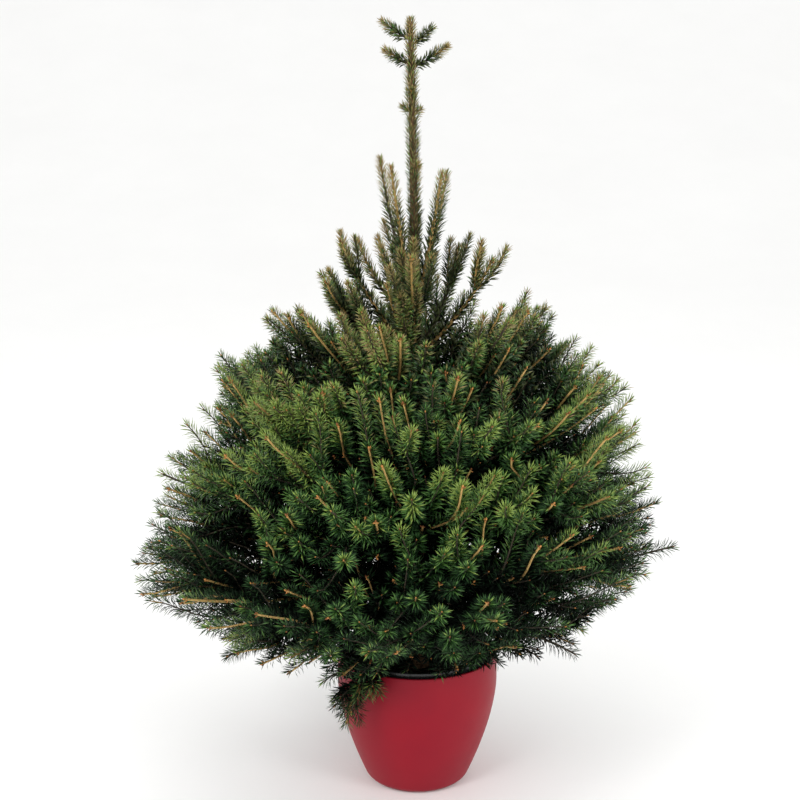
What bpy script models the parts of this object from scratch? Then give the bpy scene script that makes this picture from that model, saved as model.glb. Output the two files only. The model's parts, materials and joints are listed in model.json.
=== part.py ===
"""A pot-grown Norway spruce standing in a red planter, 1.21 m from the floor to the tip of its leader.

The frame's origin is the centre of the planter's flat underside and +Z is up. The face that shows in the
reference view looks towards -Y, so -X is the left of that view. Sizes are in metres, angles in degrees.

A trunk runs whole from the soil to the tip. Whorls of limbs stand round it, steep at the top, level lower
down and drooping at the foot. The lowest limbs are bare tapering boughs with a mass of foliage at the end,
and above them the stem of each mass meets the trunk. A mass is a stem with toothed sprays of needles on it,
which keep nearer to their own stem than to any other limb, inside the outline of the crown.
"""

import math
import random
from collections import namedtuple

import bmesh
import bpy
import numpy as np
from mathutils import Matrix, Vector

# Gap kept between neighbouring solids
CLEARANCE = 0.0003

# Planter, a red tub whose flank narrows to a rounded foot
PLANTER_HEIGHT = 0.218
PLANTER_RADIUS = 0.130
PLANTER_WALL = 0.0045
PLANTER_FLANK_TOP = 0.170
PLANTER_FLANK_DROP = 0.0495
PLANTER_FLANK_POWER = 1.6
PLANTER_FLANK_FOOT = 0.012
PLANTER_FLOOR = 0.006
PLANTER_FLOOR_RADIUS = 0.0735
FLANK_STEPS = 6
FOOT_STEPS = 5
RIM_ROUND = 0.0014

# Black nursery pot inside the planter, whose lip stands just above the planter's rim
LINER_FOOT = PLANTER_FLOOR + CLEARANCE
LINER_TOP = 0.224
LINER_WALL = 0.002
LINER_FOOT_RADIUS = PLANTER_FLOOR_RADIUS - 0.001
LINER_NECK_RADIUS = 0.1155
LINER_LIP_RADIUS = 0.1205
LINER_LIP_HEIGHT = 0.014

# Soil, with a low mound under the trunk
SOIL_FOOT = LINER_FOOT + LINER_WALL + CLEARANCE
SOIL_EDGE = 0.184
SOIL_TOP = 0.190
SOIL_MOUND_RADIUS = 0.034
SOIL_CLEAR = 0.0006

TURNED_STEPS = 32

# Trunk
TRUNK_FOOT = SOIL_TOP + CLEARANCE
TRUNK_TIP = 1.208
TRUNK_BUTT_RADIUS = 0.0135
TRUNK_TIP_RADIUS = 0.0042
TRUNK_TAPER = 1.25
FLARE_RADIUS = 0.0075
FLARE_FADE = 0.012
LEADER_LEAN = -0.0128
TRUNK_STEPS = 14
TRUNK_BEVEL = 3

# Limbs. Azimuths run anticlockwise from +X seen from above, so 180 is the left of the view. Each whorl
# turns from its rise at the foot to its rise at the tip. Bare is the share of the limb that is a bough.
Whorl = namedtuple("Whorl", "name height azimuths rise_foot rise_tip reach bare nodes")
WHORLS = (
    Whorl("drooping", 0.262, (236,), 14, -72, 0.225, 0.44, 4),
    Whorl("front", 0.278, (292,), 22, 2, 0.190, 0.34, 3),
    Whorl("skirt", 0.275, (199, 130, 54, 350), 8, -30, 0.345, 0.34, 4),
    Whorl("low", 0.345, (344, 44, 106, 167, 224, 286), 0, 20, 0.435, 0.22, 5),
    Whorl("middle", 0.430, (13, 72, 134, 196, 255, 314), 4, 31, 0.400, 0.0, 4),
    Whorl("high", 0.520, (343, 42, 103, 164, 223, 284), 10, 41, 0.358, 0.0, 4),
    Whorl("upper", 0.615, (12, 74, 131, 196, 254, 313), 24, 54, 0.280, 0.0, 3),
    Whorl("crest", 0.700, (338, 48, 120, 192, 266), 44, 66, 0.210, 0.0, 3),
    Whorl("top", 0.775, (18, 92, 168, 236, 306), 70, 79, 0.225, 0.0, 1),
)
FULLER_SIDE = 0.07
AZIMUTH_JITTER = 4.0
RISE_JITTER = 3.0
REACH_JITTER = 0.035
LIMB_STEPS = 8
BOUGH_POINTS = 5
BOUGH_BEVEL = 1
BOUGH_FOOT_RADIUS = 0.0050
BOUGH_TIP_RADIUS = 0.0034
STEM_TIP_RADIUS = 0.0016
STEM_PIECES = 3

# Short side shoots near the tip of the leader
Tuft = namedtuple("Tuft", "height azimuth rise reach")
TUFTS = (
    Tuft(1.180, 158, 28, 0.052),
    Tuft(1.172, 24, 34, 0.042),
    Tuft(1.144, 204, 24, 0.046),
    Tuft(1.140, 344, 26, 0.062),
)
TUFT_STEM_RADIUS = 0.0016
TUFT_LEAD_FROM = 0.30

# Outline of the crown as (height, reach), whose underside is higher on the side that faces the view
CROWN_OUTLINE = (
    (0.14, 0.24),
    (0.28, 0.36),
    (0.385, 0.455),
    (0.535, 0.41),
    (0.70, 0.325),
    (0.80, 0.215),
    (0.92, 0.12),
    (1.03, 0.08),
)
FRONT_LIFT = 0.05

# Sprays: a ring is a share of the length and of the width, and a neck behind a wide ring makes teeth
SPRAY_RINGS = ((0.34, 1.00), (0.29, 0.56), (0.68, 0.80))
LEADING_RINGS = ((0.26, 1.00), (0.22, 0.58), (0.50, 0.94), (0.46, 0.54), (0.76, 0.70))
SPRAY_ROOT = 0.10
SPRAY_WIDTH_SHARE = 0.36
SPRAY_WIDTHS = (0.026, 0.056)
SPRAY_DEPTH_SHARE = 0.62
LEADING_SHARE = 0.55
LEADING_WIDTH = 0.060
TUFT_WIDTH = 0.020
SPRAY_FIRST = 0.10
SPRAY_LAST = 0.76
SPRAY_ANGLE_FOOT = 56.0
SPRAY_ANGLE_TIP = 38.0
SPRAY_JITTER = 7.0
SPRAY_LIFT = 26.0
SPRAY_ROLL = 20.0
SPRAY_LENGTH_SHARE = 0.60
SPRAY_SHORTENING = 0.45
UPRIGHT_SHARE = 0.75
SPRAY_TRIES = (1.0, 0.88, 0.76, 0.64, 0.52)
SPRAY_SHORTEST = 0.022
SPACE_MARGIN = 0.0015
LIMB_MARGIN = 0.0015
POT_MARGIN = 0.004
WELD = 1e-6


def clear_scene():
    """Remove every object that the startup file brings."""
    for leftover in list(bpy.data.objects):
        bpy.data.objects.remove(leftover)


def new_collection(name):
    """Make a collection in the scene."""
    made = bpy.data.collections.new(name)
    bpy.context.scene.collection.children.link(made)
    return made


def material(name, colour, roughness, metallic=0.0):
    """Make a Principled material of one colour."""
    made = bpy.data.materials.new(name)
    made.use_nodes = True
    shader = made.node_tree.nodes["Principled BSDF"]
    shader.inputs["Base Color"].default_value = (*colour, 1.0)
    shader.inputs["Roughness"].default_value = roughness
    shader.inputs["Metallic"].default_value = metallic
    return made


def planter_radius(height):
    """Outer radius of the planter's flank at a height."""
    below = max(0.0, PLANTER_FLANK_TOP - height) / PLANTER_FLANK_TOP
    return PLANTER_RADIUS - PLANTER_FLANK_DROP * below**PLANTER_FLANK_POWER


def turned(name, profile, finish, home):
    """Turn a profile of (radius, height) points that starts and ends on the axis."""
    mesh = bpy.data.meshes.new(name)
    points = [(radius, 0.0, height) for radius, height in profile]
    mesh.from_pydata(points, [(i, i + 1) for i in range(len(points) - 1)], [])
    made = bpy.data.objects.new(name, mesh)
    home.objects.link(made)
    screw = made.modifiers.new("turn", "SCREW")
    screw.axis = "Z"
    screw.steps = TURNED_STEPS
    screw.render_steps = TURNED_STEPS
    screw.use_merge_vertices = True
    screw.merge_threshold = 0.0001
    screw.use_smooth_shade = True
    made.data.materials.append(finish)
    return made


def planter_foot():
    """Points of the arc that carries the flank on, with no corner, to the flat underside."""
    below = (PLANTER_FLANK_TOP - PLANTER_FLANK_FOOT) / PLANTER_FLANK_TOP
    slope = PLANTER_FLANK_DROP * PLANTER_FLANK_POWER / PLANTER_FLANK_TOP
    lean = math.atan(slope * below ** (PLANTER_FLANK_POWER - 1.0))
    radius = PLANTER_FLANK_FOOT / (1.0 - math.sin(lean))
    middle = planter_radius(PLANTER_FLANK_FOOT) - radius * math.cos(lean)
    points = []
    for i in range(1, FOOT_STEPS + 1):
        turn = lean + (math.pi / 2 - lean) * i / FOOT_STEPS
        points.append((middle + radius * math.cos(turn), radius * (1.0 - math.sin(turn))))
    return points


def planter(finish, home):
    """The open tub: inside from its floor up, over the rim, and down the flank to the flat foot."""
    drop = PLANTER_FLANK_TOP - PLANTER_FLANK_FOOT
    flank = [PLANTER_FLANK_TOP - drop * i / FLANK_STEPS for i in range(FLANK_STEPS + 1)]
    outside = [(planter_radius(height), height) for height in flank] + planter_foot()
    inside = [(PLANTER_FLOOR_RADIUS, PLANTER_FLOOR)]
    for height in (flank[-1], flank[-3], flank[-5], PLANTER_FLANK_TOP):
        inside.append((planter_radius(height) - PLANTER_WALL, height))
    inner_rim = PLANTER_RADIUS - PLANTER_WALL
    rim = [
        (inner_rim, PLANTER_HEIGHT - RIM_ROUND),
        (inner_rim + RIM_ROUND, PLANTER_HEIGHT),
        (PLANTER_RADIUS - RIM_ROUND, PLANTER_HEIGHT),
        (PLANTER_RADIUS, PLANTER_HEIGHT - RIM_ROUND),
    ]
    profile = [(0.0, PLANTER_FLOOR), *inside, *rim, *outside, (0.0, 0.0)]
    return turned("planter", profile, finish, home)


def nursery_pot(finish, home):
    """The thin black growing pot, with a lip round its mouth."""
    lip_foot = LINER_TOP - LINER_LIP_HEIGHT
    profile = [
        (0.0, LINER_FOOT + LINER_WALL),
        (LINER_FOOT_RADIUS - LINER_WALL, LINER_FOOT + LINER_WALL),
        (LINER_NECK_RADIUS - LINER_WALL, LINER_TOP),
        (LINER_LIP_RADIUS, LINER_TOP),
        (LINER_LIP_RADIUS, lip_foot),
        (LINER_NECK_RADIUS, lip_foot),
        (LINER_FOOT_RADIUS, LINER_FOOT),
        (0.0, LINER_FOOT),
    ]
    return turned("nursery_pot", profile, finish, home)


def soil(finish, home):
    """The filling of the nursery pot, with a flat-topped mound that the trunk stands on."""
    rise = (SOIL_EDGE - LINER_FOOT) / (LINER_TOP - LINER_FOOT)
    edge_radius = LINER_FOOT_RADIUS + (LINER_NECK_RADIUS - LINER_FOOT_RADIUS) * rise
    profile = [
        (0.0, SOIL_TOP),
        (SOIL_MOUND_RADIUS, SOIL_TOP),
        (edge_radius - LINER_WALL - SOIL_CLEAR, SOIL_EDGE),
        (LINER_FOOT_RADIUS - LINER_WALL - SOIL_CLEAR, SOIL_FOOT),
        (0.0, SOIL_FOOT),
    ]
    return turned("soil", profile, finish, home)


def trunk_share(height):
    """How far up the trunk a height is, from 0 at the soil to 1 at the tip."""
    return (height - TRUNK_FOOT) / (TRUNK_TIP - TRUNK_FOOT)


def trunk_radius(height):
    """Radius of the trunk at a height, with the root flare."""
    share = min(1.0, max(0.0, trunk_share(height)))
    taper = (TRUNK_BUTT_RADIUS - TRUNK_TIP_RADIUS) * (1.0 - share) ** TRUNK_TAPER
    flare = FLARE_RADIUS * math.exp(-(height - TRUNK_FOOT) / FLARE_FADE)
    return TRUNK_TIP_RADIUS + taper + flare


def trunk_axis(height):
    """Point on the middle of the trunk at a height, with the lean of the leader."""
    return Vector((LEADER_LEAN * trunk_share(height) ** 2, 0.0, height))


def tapered_tube(name, points, radii, resolution, finish, home):
    """A round limb along a line of points, as a bevelled curve with filled ends."""
    curve = bpy.data.curves.new(name, "CURVE")
    curve.dimensions = "3D"
    curve.bevel_depth = 1.0
    curve.bevel_resolution = resolution
    curve.use_fill_caps = True
    spline = curve.splines.new("POLY")
    spline.points.add(len(points) - 1)
    for slot, point, radius in zip(spline.points, points, radii):
        slot.co = (*point, 1.0)
        slot.radius = radius
    made = bpy.data.objects.new(name, curve)
    home.objects.link(made)
    made.data.materials.append(finish)
    return made


def as_mesh(curve, home):
    """Replace a curve object by a closed mesh of the same name."""
    graph = bpy.context.evaluated_depsgraph_get()
    mesh = bpy.data.meshes.new_from_object(curve.evaluated_get(graph))
    mesh.transform(curve.matrix_world)
    name = curve.name
    bpy.data.objects.remove(curve)
    shape = bmesh.new()
    shape.from_mesh(mesh)
    bmesh.ops.remove_doubles(shape, verts=shape.verts, dist=WELD)
    shape.to_mesh(mesh)
    shape.free()
    made = bpy.data.objects.new(name, mesh)
    home.objects.link(made)
    return made


def trunk(finish, home, cutters):
    """The whole trunk, with closer rings in the root flare, and the cutter that clears the limbs' feet."""
    length = TRUNK_TIP - TRUNK_FOOT
    heights = [
        TRUNK_FOOT + length * (i / TRUNK_STEPS) ** 1.6 for i in range(TRUNK_STEPS + 1)
    ]
    points = [trunk_axis(height) for height in heights]
    points[1].xy = points[0].xy
    radii = [trunk_radius(height) for height in heights]
    tapered_tube("trunk", points, radii, TRUNK_BEVEL, finish, home)
    sides = 4 + 2 * TRUNK_BEVEL
    wider = [radius + CLEARANCE / math.cos(math.pi / sides) for radius in radii]
    curve = tapered_tube("trunk_room", points, wider, TRUNK_BEVEL, finish, cutters)
    room = as_mesh(curve, cutters)
    room.hide_render = True
    room.display_type = "WIRE"
    return room


def clear_of(made, room):
    """Cut a limb's foot to the shape of the trunk, with the clearance between them."""
    cut = made.modifiers.new("clear_of_trunk", "BOOLEAN")
    cut.operation = "DIFFERENCE"
    cut.object = room


def limb_direction(azimuth, rise):
    """Unit vector that points out at an azimuth and up by a rise, in degrees."""
    around, up = math.radians(azimuth), math.radians(rise)
    return Vector(
        (math.cos(up) * math.cos(around), math.cos(up) * math.sin(around), math.sin(up))
    )


def limb_line(start, azimuth, rise_foot, rise_tip, length, steps=LIMB_STEPS):
    """Points along a limb whose rise turns evenly from its foot to its tip."""
    points = [start.copy()]
    for i in range(steps):
        rise = rise_foot + (rise_tip - rise_foot) * (i + 0.5) / steps
        points.append(points[-1] + limb_direction(azimuth, rise) * (length / steps))
    return points


def along(points, share):
    """Point and direction at a share of a line's length, from 0 to 1."""
    place = min(share, 0.9999) * (len(points) - 1)
    i = int(place)
    step = points[i + 1] - points[i]
    return points[i] + step * (place - i), step.normalized()


def whorl_limbs(whorl):
    """Each limb of a whorl as (number, azimuth, line of points)."""
    limbs = []
    for number, planned in enumerate(whorl.azimuths, start=1):
        chance = random.Random(f"{whorl.name} {number}")
        azimuth = planned + chance.uniform(-AZIMUTH_JITTER, AZIMUTH_JITTER)
        tilt = chance.uniform(-RISE_JITTER, RISE_JITTER)
        reach = whorl.reach * (1.0 + chance.uniform(-REACH_JITTER, REACH_JITTER))
        reach *= 1.0 - FULLER_SIDE * math.cos(math.radians(azimuth))
        start = trunk_axis(whorl.height)
        line = limb_line(
            start, azimuth, whorl.rise_foot + tilt, whorl.rise_tip + tilt, reach
        )
        limbs.append((number, azimuth, line))
    return limbs


def part_of_line(points, first, last, count):
    """A number of points evenly spaced over a share of a line."""
    shares = [first + (last - first) * i / (count - 1) for i in range(count)]
    return [along(points, share)[0] for share in shares]


def segment_distances(points, starts, ends):
    """Distance from each point to each segment, as an array of points by segments."""
    span = ends - starts
    offset = points[:, None, :] - starts[None, :, :]
    share = (offset * span).sum(-1) / np.maximum((span * span).sum(-1), 1e-18)
    nearest = starts + span * np.clip(share, 0.0, 1.0)[..., None]
    return np.linalg.norm(points[:, None, :] - nearest, axis=-1)


def crown_reach(spots):
    """How far from the axis the crown reaches at the height and side of each spot."""
    heights, reaches = zip(*CROWN_OUTLINE)
    outward = np.maximum(np.hypot(spots[:, 0], spots[:, 1]), 1e-6)
    facing = np.maximum(0.0, -spots[:, 1] / outward)
    level = spots[:, 2] - FRONT_LIFT * facing * (spots[:, 2] < heights[2])
    return np.interp(level, heights, reaches) * (1.0 - FULLER_SIDE * spots[:, 0] / outward)


class Space:
    """Who owns which part of the crown: a point belongs to the stem that it lies nearest to."""

    def __init__(self):
        self.starts, self.ends, self.owners = [], [], []
        self.limb_starts, self.limb_ends, self.limb_radii = [], [], []

    def add_stem(self, owner, points):
        """Add a mass's stem, which claims the space round it."""
        for a, b in zip(points, points[1:]):
            self.starts.append(tuple(a))
            self.ends.append(tuple(b))
            self.owners.append(owner)

    def add_limb(self, points, radii):
        """Add a solid limb, which no mass may touch."""
        for a, b, radius in zip(points, points[1:], radii):
            self.limb_starts.append(tuple(a))
            self.limb_ends.append(tuple(b))
            self.limb_radii.append(radius)

    def allows(self, owner, points):
        """Whether all of these points lie in the owner's space and clear of limbs and pot."""
        spots = np.array([tuple(point) for point in points])
        own = np.array(self.owners) == owner
        far = segment_distances(spots, np.array(self.starts), np.array(self.ends))
        if (far[:, own].min(1) + SPACE_MARGIN > far[:, ~own].min(1)).any():
            return False
        near = segment_distances(
            spots, np.array(self.limb_starts), np.array(self.limb_ends)
        )
        if (near < np.array(self.limb_radii) + LIMB_MARGIN).any():
            return False
        if (np.hypot(spots[:, 0], spots[:, 1]) > crown_reach(spots)).any():
            return False
        low = spots[spots[:, 2] < LINER_TOP + POT_MARGIN]
        outward = np.hypot(low[:, 0], low[:, 1])
        wall = np.array([planter_radius(max(0.0, z)) for z in low[:, 2]])
        return not (outward < wall + POT_MARGIN).any() and spots[:, 2].min() > 0.0


def toothed_spray(length, width, rings):
    """A slim three-sided core along +Z whose corners stand out in teeth, flat below, from root to tip."""
    shape = bmesh.new()
    share, fullness = rings[0]
    bmesh.ops.create_cone(
        shape,
        cap_ends=True,
        segments=3,
        radius1=width * SPRAY_ROOT,
        radius2=width * fullness,
        depth=share * length,
    )
    bmesh.ops.translate(shape, vec=(0.0, 0.0, share * length / 2), verts=shape.verts)
    end = max(shape.faces, key=lambda face: face.calc_center_median().z)
    for next_share, next_fullness in (*rings[1:], (1.0, 0.0)):
        end = bmesh.ops.extrude_discrete_faces(shape, faces=[end])["faces"][0]
        shift = (0.0, 0.0, (next_share - share) * length)
        bmesh.ops.translate(shape, vec=shift, verts=end.verts)
        if next_fullness:
            ratio = next_fullness / fullness
            bmesh.ops.scale(shape, vec=(ratio, ratio, 1.0), verts=end.verts)
        else:
            bmesh.ops.pointmerge(shape, verts=end.verts, merge_co=(0.0, 0.0, length))
        share, fullness = next_share, next_fullness
    low = min(vert.co.y for vert in shape.verts)
    wide = max(vert.co.x for vert in shape.verts)
    tall = max(vert.co.y for vert in shape.verts) - low
    size = (width / 2 / wide, width * SPRAY_DEPTH_SHARE / tall, 1.0)
    bmesh.ops.scale(shape, vec=size, verts=shape.verts)
    return shape


def laid_along(foot, direction, side, roll):
    """Matrix that lays +Z along a direction with +X to the side, rolled by an angle in degrees."""
    across = (side - direction * side.dot(direction)).normalized()
    across = Matrix.Rotation(math.radians(roll), 3, direction) @ across
    turn = Matrix((across, direction.cross(across), direction)).transposed()
    return Matrix.Translation(foot) @ turn.to_4x4()


def place_shape(name, shape, place, home):
    """Link a bmesh as an object with this matrix."""
    mesh = bpy.data.meshes.new(name)
    shape.to_mesh(mesh)
    shape.free()
    made = bpy.data.objects.new(name, mesh)
    made.matrix_world = place
    home.objects.link(made)
    return made


def stem(points, foot_radius, tip_radius, home):
    """A three-sided tapering stem that follows a line of points."""
    shape = bmesh.new()
    first = points[1] - points[0]
    bmesh.ops.create_circle(shape, cap_ends=True, segments=3, radius=foot_radius)
    turn = first.to_track_quat("Z", "Y").to_matrix()
    bmesh.ops.rotate(shape, matrix=turn, verts=shape.verts)
    bmesh.ops.translate(shape, vec=points[0], verts=shape.verts)
    foot = shape.faces[:][0]
    foot.normal_flip()
    ring = [vert.co - points[0] for vert in foot.verts]
    last = foot.verts[:]
    for i, point in enumerate(points[1:], start=1):
        share = i / (len(points) - 1)
        radius = foot_radius + (tip_radius - foot_radius) * share
        ahead = points[min(i + 1, len(points) - 1)] - points[i - 1]
        bend = first.rotation_difference(ahead)
        new = [
            shape.verts.new(point + bend @ offset * (radius / foot_radius))
            for offset in ring
        ]
        for j in range(3):
            shape.faces.new((last[j], last[j - 1], new[j - 1], new[j]))
        last = new
    shape.faces.new(reversed(last))
    bmesh.ops.recalc_face_normals(shape, faces=shape.faces)
    return place_shape("stem", shape, Matrix.Identity(4), home)


def line_length(points):
    """Length of a line of points."""
    return sum((b - a).length for a, b in zip(points, points[1:]))


def sprays(line, azimuth, nodes, chance):
    """Pairs of side sprays and upright ones, each as (share along the stem, direction, length, roll)."""
    found = []
    around = math.radians(azimuth)
    side = Vector((-math.sin(around), math.cos(around), 0.0))
    longest = line_length(line) * SPRAY_LENGTH_SHARE
    for node in range(nodes):
        share = SPRAY_FIRST + (SPRAY_LAST - SPRAY_FIRST) * node / max(1, nodes - 1)
        for way in (1, -1, 0) if node % 2 else (1, -1):
            place = share + chance.uniform(0.0, 0.08)
            _, direction = along(line, place)
            up = side.cross(direction * -1.0).normalized()
            angle = SPRAY_ANGLE_FOOT + (SPRAY_ANGLE_TIP - SPRAY_ANGLE_FOOT) * share
            turn = math.radians(angle + chance.uniform(-SPRAY_JITTER, SPRAY_JITTER))
            lift = math.radians(chance.uniform(-0.4, 1.0) * SPRAY_LIFT)
            length = longest * (1.0 - SPRAY_SHORTENING * share)
            if way:
                out = direction * math.cos(turn) + side * (way * math.sin(turn))
                out = out * math.cos(lift) + up * math.sin(lift)
            else:
                out = direction * math.cos(turn) + up * math.sin(turn)
                length *= UPRIGHT_SHARE
            roll = chance.uniform(-SPRAY_ROLL, SPRAY_ROLL)
            found.append((place, out.normalized(), length, roll))
    return found, side


def try_spray(owner, foot, direction, side, roll, size, rings, space, home):
    """Place a spray, made smaller until it fits its space, and give it or None."""
    length, width = size
    for shrink in SPRAY_TRIES:
        if length * shrink < SPRAY_SHORTEST:
            return None
        place = laid_along(foot, direction, side, roll)
        shape = toothed_spray(length * shrink, width * shrink, rings)
        spots = [place @ vert.co for vert in shape.verts]
        ends = [edge.verts for edge in shape.edges]
        spots += [place @ a.co.lerp(b.co, 0.5) for a, b in ends]
        if space.allows(owner, spots):
            return place_shape("spray", shape, place, home)
        shape.free()
    return None


def keep_outer_shell(mesh):
    """Drop the scraps and fill the hollows that fusing leaves: only the largest shell stays."""
    shape = bmesh.new()
    shape.from_mesh(mesh)
    bmesh.ops.remove_doubles(shape, verts=shape.verts, dist=WELD)
    shells, seen = [], set()
    for face in shape.faces:
        if face in seen:
            continue
        shell, waiting = [], [face]
        seen.add(face)
        while waiting:
            current = waiting.pop()
            shell.append(current)
            clean = [edge for edge in current.edges if len(edge.link_faces) == 2]
            for neighbour in {face for edge in clean for face in edge.link_faces}:
                if neighbour not in seen:
                    seen.add(neighbour)
                    waiting.append(neighbour)
        shells.append(shell)
    shells.sort(key=len)
    scraps = [face for shell in shells[:-1] for face in shell]
    bmesh.ops.delete(shape, geom=scraps, context="FACES")
    bmesh.ops.triangulate(shape, faces=shape.faces)
    shape.to_mesh(mesh)
    shape.free()


def fused(name, pieces, helpers, finish, home):
    """Join pieces into one solid with one Boolean union on their collection."""
    base = pieces[0]
    helpers.objects.unlink(base)
    home.objects.link(base)
    union = base.modifiers.new("join", "BOOLEAN")
    union.operation = "UNION"
    union.operand_type = "COLLECTION"
    union.collection = helpers
    union.solver = "MANIFOLD"
    graph = bpy.context.evaluated_depsgraph_get()
    mesh = bpy.data.meshes.new_from_object(base.evaluated_get(graph))
    mesh.name = name
    mesh.transform(base.matrix_world)
    for piece in list(helpers.objects):
        bpy.data.objects.remove(piece)
    bpy.data.objects.remove(base)
    keep_outer_shell(mesh)
    mesh.materials.clear()
    mesh.materials.append(finish)
    made = bpy.data.objects.new(name, mesh)
    home.objects.link(made)
    return made


def foliage(name, line, azimuth, radius, nodes, space, finish, home):
    """One mass: its stem, a leading spray and pairs of side sprays, fused."""
    chance = random.Random(name)
    helpers = new_collection("pieces")
    stem_end = 1.0 - LEADING_SHARE * 0.6
    stem_points = part_of_line(line, 0.0, stem_end, STEM_PIECES + 1)
    pieces = [stem(stem_points, radius, STEM_TIP_RADIUS, helpers)]
    found, side = sprays(line, azimuth, nodes, chance)
    foot, _ = along(line, 1.0 - LEADING_SHARE if nodes else TUFT_LEAD_FROM)
    toward = line[-1] - foot
    size = (toward.length, LEADING_WIDTH if nodes > 1 else TUFT_WIDTH)
    rings = LEADING_RINGS if nodes else SPRAY_RINGS
    lead = (foot, toward.normalized(), side, 0.0, size, rings)
    try_spray(name, *lead, space, helpers)
    for share, out, length, roll in found:
        foot, _ = along(line, share)
        width = min(SPRAY_WIDTHS[1], max(SPRAY_WIDTHS[0], length * SPRAY_WIDTH_SHARE))
        size = (length, width)
        try_spray(name, foot, out, side, roll, size, SPRAY_RINGS, space, helpers)
    made = fused(name, pieces, helpers, finish, home)
    bpy.data.collections.remove(helpers)
    return made


def tuft_line(tuft):
    """Stem of a short shoot on the leader."""
    start = trunk_axis(tuft.height)
    return limb_line(start, tuft.azimuth, tuft.rise, tuft.rise + 8, tuft.reach, 2)


def build():
    """Build the whole plant and its pot."""
    clear_scene()
    home = new_collection("potted_spruce")
    red = material("planter_red", (0.30, 0.018, 0.032), 0.55)
    black = material("nursery_pot_black", (0.010, 0.011, 0.012), 0.30)
    earth = material("soil_brown", (0.030, 0.020, 0.014), 0.95)
    bark = material("bark_brown", (0.21, 0.125, 0.060), 0.85)
    needles = material("needle_green", (0.030, 0.075, 0.024), 0.60)
    planter(red, home)
    nursery_pot(black, home)
    soil(earth, home)
    room = trunk(bark, home, new_collection("cutters"))

    space = Space()
    heights = [TRUNK_FOOT + (TRUNK_TIP - TRUNK_FOOT) * i / 24 for i in range(25)]
    space.add_limb(
        [trunk_axis(height) for height in heights],
        [trunk_radius(height) for height in heights],
    )
    masses = []
    for whorl in WHORLS:
        for number, azimuth, line in whorl_limbs(whorl):
            name = f"foliage_{whorl.name}_{number}"
            if whorl.bare:
                bare = part_of_line(line, 0.0, whorl.bare, BOUGH_POINTS)
                radii = [
                    BOUGH_FOOT_RADIUS
                    + (BOUGH_TIP_RADIUS - BOUGH_FOOT_RADIUS) * i / (BOUGH_POINTS - 1)
                    for i in range(BOUGH_POINTS)
                ]
                bough = f"bough_{whorl.name}_{number}"
                tube = tapered_tube(bough, bare, radii, BOUGH_BEVEL, bark, home)
                clear_of(as_mesh(tube, home), room)
                space.add_limb(bare, radii)
                foot, direction = along(line, whorl.bare)
                line = part_of_line(line, whorl.bare, 1.0, LIMB_STEPS + 1)
                line[0] = foot + direction * CLEARANCE
            space.add_stem(name, line)
            mass = (name, line, azimuth, BOUGH_TIP_RADIUS, whorl.nodes)
            masses.append((mass, not whorl.bare))
    for number, tuft in enumerate(TUFTS, start=1):
        line = tuft_line(tuft)
        name = f"tuft_{number}"
        space.add_stem(name, line)
        masses.append(((name, line, tuft.azimuth, TUFT_STEM_RADIUS, 0), True))
    for mass, on_trunk in masses:
        made = foliage(*mass, space, needles, home)
        if on_trunk:
            clear_of(made, room)


build()
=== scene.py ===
"""Studio view of a pot-grown Norway spruce in a red planter.

The frame's origin is the centre of the planter's flat underside and +Z is up. The view looks towards +Y, so
-X is the left of the picture. Sizes are in metres and angles in degrees.

The trunk and the whorls of limbs stand where the solids have them, by the same seeded rule. Here they are
carried on: each limb bears side twigs, these bear finer twigs, and every twig carries its needles and buds,
inside the same outline of the crown. The needles, twigs and buds of a whorl are one mesh of each kind.
"""

import json
import logging
import math
import random
from dataclasses import dataclass, field, replace
from enum import Enum

import bmesh
import bpy
import numpy as np
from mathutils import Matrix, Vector, kdtree, noise

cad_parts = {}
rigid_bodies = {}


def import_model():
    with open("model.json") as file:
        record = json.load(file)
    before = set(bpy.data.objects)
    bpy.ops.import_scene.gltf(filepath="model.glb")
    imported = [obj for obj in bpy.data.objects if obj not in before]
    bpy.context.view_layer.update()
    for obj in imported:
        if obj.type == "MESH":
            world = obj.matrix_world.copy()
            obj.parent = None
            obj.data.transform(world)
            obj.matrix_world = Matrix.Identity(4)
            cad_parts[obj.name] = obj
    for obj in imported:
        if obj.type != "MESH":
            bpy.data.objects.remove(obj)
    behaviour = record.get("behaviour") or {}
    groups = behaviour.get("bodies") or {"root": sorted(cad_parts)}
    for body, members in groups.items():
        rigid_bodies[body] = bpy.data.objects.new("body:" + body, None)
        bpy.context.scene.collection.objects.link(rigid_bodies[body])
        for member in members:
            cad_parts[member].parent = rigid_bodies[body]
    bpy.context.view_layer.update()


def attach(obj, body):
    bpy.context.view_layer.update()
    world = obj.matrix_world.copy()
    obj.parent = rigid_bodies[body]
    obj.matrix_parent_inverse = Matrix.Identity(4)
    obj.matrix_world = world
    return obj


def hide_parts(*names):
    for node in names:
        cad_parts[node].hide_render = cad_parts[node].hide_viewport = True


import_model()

log = logging.getLogger("spruce")

Pair = tuple[float, float]
Triple = tuple[float, float, float]

UP = Vector((0.0, 0.0, 1.0))
BODY = "root"
FULL_TURN = 2 * math.pi
GOLDEN_ANGLE = math.radians(137.508)
SHARP_ANGLE = 40
STEEP_SKY = 0.25
NEARLY_ALL = 0.9999
NEEDLE_WIDEST = 0.58
NEEDLE_UNDERSIDE = -0.42
BUD_FOOT_RADIUS = 0.32
BUD_WIDEST = 0.35
ODD_WAY = (0.31, 0.17, 0.93)


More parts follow.
